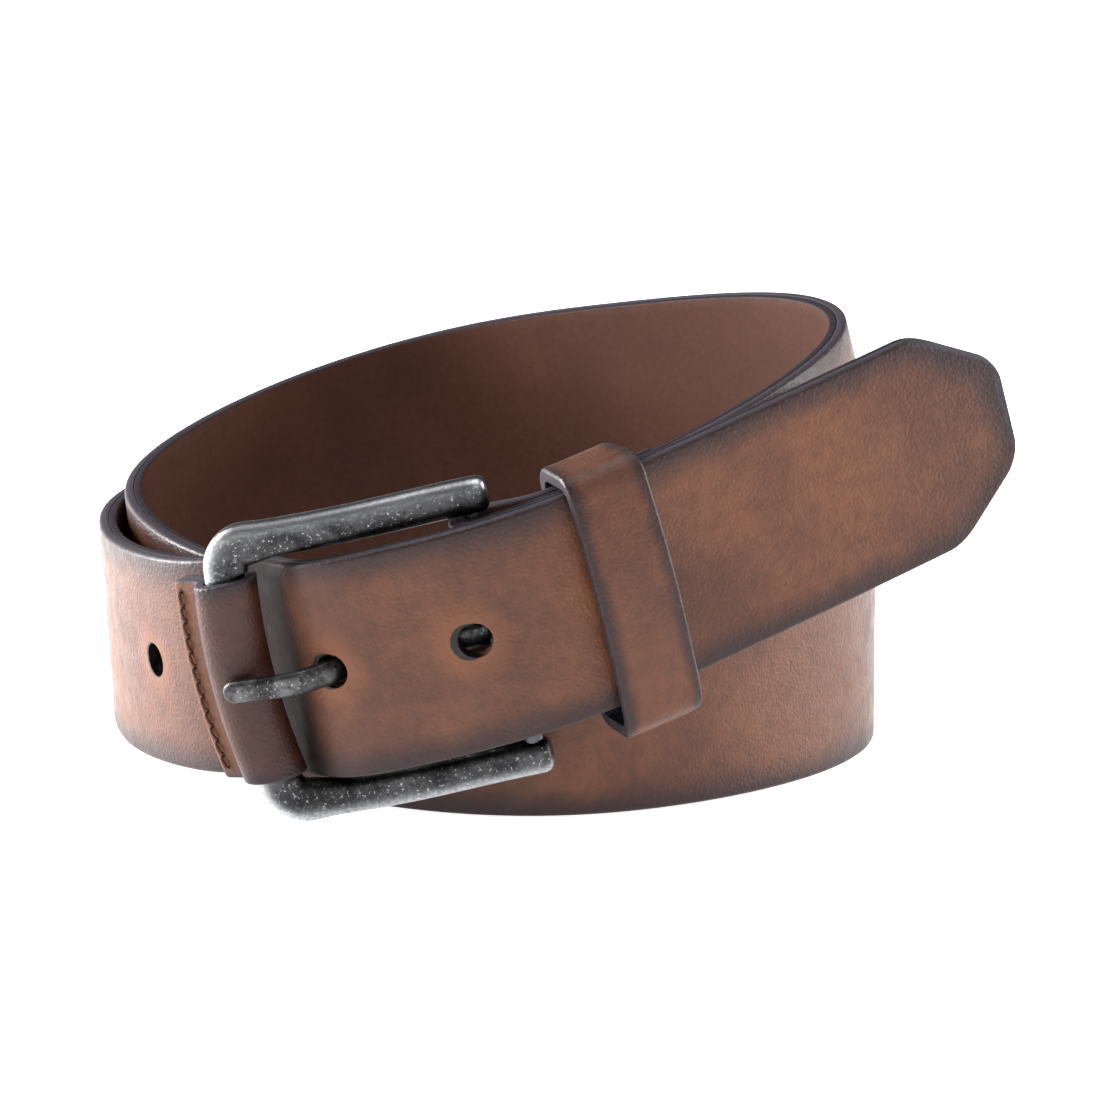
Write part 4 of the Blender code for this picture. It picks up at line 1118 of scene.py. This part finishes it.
def sleeve_outline():
    """Outer and inner outlines of the sleeve about the bar centre, point for point."""
    inner_u = FRONT_BAR_WIDTH / 2.0 + SLEEVE_CLEARANCE
    inner_n = FRONT_BAR_THICK / 2.0 + SLEEVE_CLEARANCE
    outer_u = inner_u + SLEEVE_LEATHER
    outer_n = inner_n + SLEEVE_LEATHER
    way, side = flange_ways()
    flange = math.radians(FLANGE_ANGLE)
    spread = math.radians(FLANGE_SPREAD)
    outer = []
    for i in range(SLEEVE_FACETS):
        turn = flange + spread + (2.0 * math.pi - 2.0 * spread) * i / (SLEEVE_FACETS - 1)
        outer.append(np.array([outer_u * math.cos(turn), outer_n * math.sin(turn)]))
    half = FLANGE_THICK / 2.0
    root = outer_n
    tip = root + FLANGE_LENGTH
    # up the front face with its sunken row of stitches, round the split edge, down the back
    lip = [(root + 0.8, -half), (root + 2.0, -half + 0.12), (tip - 1.9, -half + 0.12),
           (tip - 0.9, -half), (tip - 0.35, -half + 0.12), (tip, -half + 0.5), (tip, -0.12),
           (tip - 0.25, 0.0), (tip, 0.12), (tip, half - 0.5), (tip - 0.35, half - 0.12),
           (tip - 0.9, half), (root + 0.8, half)]
    outer += [way * reach + side * off for reach, off in lip]
    inner = []
    power = 2.0 / FRAME_SQUARENESS
    for point in outer:
        turn = math.atan2(point[1] / inner_n, point[0] / inner_u)
        u = math.copysign(abs(math.cos(turn)) ** power, math.cos(turn)) * inner_u
        n = math.copysign(abs(math.sin(turn)) ** power, math.sin(turn)) * inner_n
        inner.append(np.array([u, n]))
    return outer, inner


def stitch_places():
    """Heights of the stitches up the flange."""
    count = int((SLEEVE_LENGTH - STITCH_MARGIN) / STITCH_PITCH)
    low = SLEEVE_SHIFT - (count - 1) * STITCH_PITCH / 2.0
    return [low + STITCH_PITCH * i for i in range(count)]


def stitch_line():
    """How far out along the flange the row of stitches runs."""
    return (FRONT_BAR_THICK / 2.0 + SLEEVE_CLEARANCE + SLEEVE_LEATHER + FLANGE_LENGTH
            - THREAD_INSET)


def build_sleeve():
    """The sleeve and its flange, with a sunken line, darkened along its crease partly as burnished
    leather and partly as painted shade, and painted shade for the holes where the stitches go.
    """
    outline, hollow = sleeve_outline()
    way, _ = flange_ways()
    stitch_reach = stitch_line()
    holes = [v + STITCH_PITCH / 2.0 for v in stitch_places()]
    outer = []
    inner = []
    edge = []
    hole = []
    for i in range(SLEEVE_ROWS + 1):
        t = i / SLEEVE_ROWS
        v = SLEEVE_SHIFT + SLEEVE_LENGTH * (t - 0.5)
        to_edge = SLEEVE_LENGTH * min(t, 1.0 - t)
        short = max(0.0, SLEEVE_SOFT - to_edge)
        ease = SLEEVE_SOFT - math.sqrt(max(0.0, SLEEVE_SOFT ** 2 - short ** 2))
        ring = []
        for point in outline:
            reach = float(np.dot(point, way))
            spot = point * (1.0 - ease / max(np.linalg.norm(point), 0.1))
            ring.append(sleeve_place(spot[0], v, spot[1]))
            # the stitch line is darkened like a rubbed border: partly burnished crease, partly
            # painted shade in the groove
            groove = GROOVE_DARK + abs(reach - stitch_reach)
            edge.append(min(to_edge, groove, max(0.0, stitch_reach + THREAD_INSET - reach)))
            # painted shade for the stitch holes: each hole's middle is given a punched-hole
            # distance, so the leather darkens it nearly to black
            near = min(abs(v - h) for h in holes)
            halo = STITCH_HALO + math.hypot(near, reach - stitch_reach)
            hole.append(halo if reach > FLANGE_FROM else NO_HOLE)
        outer.append(ring)
        inner.append([sleeve_place(p[0], v, p[1]) for p in hollow])
    count = len(outline)
    sections = outer + inner[::-1]
    verts, faces = closed_loft(sections)
    look = grain_leather("sleeve_leather", srgb(64, 35, 27), srgb(52, 28, 22),
                         srgb(30, 16, 13), 3.6)
    made = make_piece("sleeve", verts, faces, look, PIECE_SHARP)
    inside = [0.0] * (count * (SLEEVE_ROWS + 1))
    set_values(made, "edge_mm", edge + inside)
    set_values(made, "hole_mm", hole + [NO_HOLE] * len(inside))
    paint = [1.0 if e < SLEEVE_PAINT else 0.0 for e in edge]
    set_values(made, "paint", paint + [1.0] * len(inside))
    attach(made, "buckle")
    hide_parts("bar_wrap")


def stitch(name, v, face, look):
    """One stitch: a short strand that dips into its hole at each end."""
    way, side = flange_ways()
    reach = stitch_line()
    half = STITCH_PITCH / 2.0
    last = STITCH_STATIONS - 1
    line = []
    for i in range(STITCH_STATIONS):
        t = i / last * 2.0 - 1.0
        crown = STITCH_CROWN * math.sqrt(max(0.0, 1.0 - t ** 4))
        lift = FLANGE_THICK / 2.0 - STITCH_SUNK + crown - STITCH_DIP * t ** 8
        sway = STITCH_SWAY * t
        spot = way * (reach + sway) + side * face * lift
        line.append(sleeve_place(spot[0], v + t * (half - STITCH_GAP), spot[1]))
    turns = [2.0 * math.pi * j / THREAD_FACETS for j in range(THREAD_FACETS)]
    sections = []
    for i, point in enumerate(line):
        run = unit(line[min(i + 1, last)] - line[max(i - 1, 0)])
        across = unit(np.cross(run, OUT_OF_BUCKLE))
        up = np.cross(across, run)
        size = THREAD_RADIUS * (THREAD_END_SHARE
                                + (1.0 - THREAD_END_SHARE) * math.sin(math.pi * i / last))
        sections.append([point + size * (across * math.cos(t) + up * math.sin(t)) for t in turns])
    return make_piece(name, *loft(sections), look, THREAD_SHARP)


def build_threads():
    """Each row of stitches as one piece."""
    look = waxed_thread()
    for node, face in (("wrap_thread_front", -1.0), ("wrap_thread_back", 1.0)):
        strands = [stitch(f"{node}_{i}", v, face, look) for i, v in enumerate(stitch_places())]
        work = bmesh.new()
        for strand in strands:
            work.from_mesh(strand.data)
            bpy.data.objects.remove(strand, do_unlink=True)
        mesh = bpy.data.meshes.new(node + "_stitches")
        work.to_mesh(mesh)
        work.free()
        mesh.materials.append(look)
        mesh.shade_smooth()
        made = add_object(node + "_stitches", mesh)
        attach(made, "buckle")
        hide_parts(node)


# ---------------------------------------------------------------- the keeper

def keeper_outline():
    """Inner outline of the keeper across the strap (v) and out of it (n), with its outward way."""
    half = HALF_WIDTH + KEEPER_SIDE_CLEARANCE
    front = STRAP_THICK / 2.0 + KEEPER_FRONT_CLEARANCE
    back = -(2.0 * LAYER + STRAP_THICK / 2.0 + KEEPER_BACK_CLEARANCE)
    r = KEEPER_CORNER
    points = []
    for i in range(KEEPER_FRONT_STEPS):
        v = (half - r) * (1.0 - 2.0 * i / KEEPER_FRONT_STEPS)
        points.append((v, front + KEEPER_BULGE * (1.0 - (v / (half - r)) ** 2), 0.0, 1.0))
    # side, height of the corner's centre, and its first direction in half turns
    corners = ((-1.0, front - r, 0.5), (-1.0, back + r, 1.0), (1.0, back + r, 1.5),
               (1.0, front - r, 2.0))
    for index, (side, height, start) in enumerate(corners):
        for i in range(KEEPER_CORNER_STEPS + 1):
            turn = math.pi * (start + 0.5 * i / KEEPER_CORNER_STEPS)
            points.append((side * (half - r) + r * math.cos(turn), height + r * math.sin(turn),
                           math.cos(turn), math.sin(turn)))
        if index == 1:
            for i in range(1, KEEPER_BACK_STEPS):
                v = -(half - r) + 2.0 * (half - r) * i / KEEPER_BACK_STEPS
                points.append((v, back, 0.0, -1.0))
    return points[:-1]


def build_keeper():
    """The keeper, bent round the centre that it slides about."""
    out = ROUTE.outward(KEEPER_AT)
    wide = ROUTE.width_way(KEEPER_AT)
    origin = ROUTE.middle(KEEPER_AT) - wide * KEEPER_DROP
    slide = joint("keeper_slide")
    centre = np.array(slide["pos_m"]) / MM - SHIFT
    axis = Vector(slide["axis"])
    radius = float(np.linalg.norm(ROUTE.middle(KEEPER_AT) - centre))
    outline = keeper_outline()
    half = KEEPER_WIDTH / 2.0
    profile = []
    for a, b in rounding(KEEPER_EDGE, KEEPER_EDGE_STEPS):
        profile.append((-half + a, KEEPER_LEATHER - b))
    columns = np.linspace(-half + KEEPER_EDGE, half - KEEPER_EDGE, KEEPER_COLUMNS)
    profile += [(u, KEEPER_LEATHER) for u in columns[1:-1]]
    for a, b in reversed(rounding(KEEPER_EDGE, KEEPER_EDGE_STEPS)):
        profile.append((half - a, KEEPER_LEATHER - b))
    profile += [(half - KEEPER_INNER_EDGE, 0.0), (-half + KEEPER_INNER_EDGE, 0.0)]
    sections = []
    edge = []
    paint = []
    for u, lift in profile:
        turn = Matrix.Rotation(u / radius, 3, axis)
        ring = []
        for v, n, nv, nn in outline:
            point = origin + wide * (v + nv * lift) + out * (n + nn * lift)
            ring.append(centre + np.array(turn @ Vector(point - centre)))
            edge.append(half - abs(u))
            paint.append(1.0 if lift < KEEPER_PAINT_BELOW else 0.0)
        sections.append(ring)
    look = grain_leather("keeper_leather", srgb(92, 54, 37), srgb(72, 42, 31),
                         srgb(44, 25, 20), 3.0)
    made = make_piece("keeper", *closed_loft(sections), look, PIECE_SHARP)
    set_values(made, "edge_mm", edge)
    set_values(made, "hole_mm", [NO_HOLE] * len(edge))
    set_values(made, "paint", paint)
    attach(made, "keeper")
    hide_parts("keeper_loop")


def dress_metal_nodes():
    """Better materials on the two CAD nodes whose shapes stay."""
    for node, slot in (("heel_bar", "steel_bar"), ("keeper_staple", "staple_wire")):
        held = frame["nodes"][node]
        held.data.materials.clear()
        held.data.materials.append(steel_wire(slot))


# ---------------------------------------------------------------- floor, light, camera

def build_floor():
    """A white floor that turns up into a low white wall all round."""
    low = -FLOOR_BELOW
    rim = FLOOR_HALF
    corners = [(-rim, -rim), (rim, -rim), (rim, rim), (-rim, rim)]
    verts = [(x, y, low) for x, y in corners] + [(x, y, WALL_HEIGHT) for x, y in corners]
    faces = [(0, 1, 2, 3)] + [(i, i + 4, (i + 1) % 4 + 4, (i + 1) % 4) for i in range(4)]
    mesh = bpy.data.meshes.new("floor")
    mesh.from_pydata(verts, [], faces)
    n = Nodes("studio_floor")
    tone = n.mix(n.noise(3.0), (0.93, 0.93, 0.93), (0.95, 0.95, 0.95))
    mesh.materials.append(n.wear(Base_Color=tone, Roughness=0.9, Specular_IOR_Level=0.1,
                                 Emission_Color=tone, Emission_Strength=FLOOR_GLOW))
    floor = add_object("floor", mesh)


def soft_light(name, spot, width, height, watts):
    """A rectangular light that faces the belt."""
    light = bpy.data.lights.new(name, "AREA")
    light.shape = "RECTANGLE"
    light.size = width
    light.size_y = height
    light.energy = watts
    made = add_object(name, light)
    made.location = spot
    turn_towards(made, Vector(LIGHT_AIM) - Vector(spot))


def build_lights():
    """A faint white world and the four soft lights."""
    world = bpy.data.worlds.new("studio")
    world.use_nodes = True
    background = world.node_tree.nodes["Background"]
    background.inputs["Color"].default_value = (1.0, 1.0, 1.0, 1.0)
    background.inputs["Strength"].default_value = WORLD_GLOW
    bpy.context.scene.world = world
    for light in LIGHTS:
        soft_light(*light)


def build_camera():
    """The camera that the picture's fit gave, and plain colours without a film curve."""
    up = math.radians(CAMERA_ELEVATION)
    side = math.radians(CAMERA_AZIMUTH)
    ahead = Vector((math.sin(side) * math.cos(up), math.cos(side) * math.cos(up), -math.sin(up)))
    target = Vector(np.array(CAMERA_TARGET) + SHIFT)
    camera = bpy.data.cameras.new("camera")
    camera.lens = CAMERA_LENS
    camera.sensor_width = SENSOR_WIDTH
    camera.clip_end = CLIP_END
    made = add_object("camera", camera)
    made.location = (target - ahead * CAMERA_DISTANCE) * MM
    turn_towards(made, ahead)
    bpy.context.scene.camera = made
    bpy.context.scene.view_settings.view_transform = "Standard"


build_strap()
build_frame()
build_prong()
build_sleeve()
build_threads()
build_keeper()
dress_metal_nodes()
build_floor()
build_lights()
build_camera()
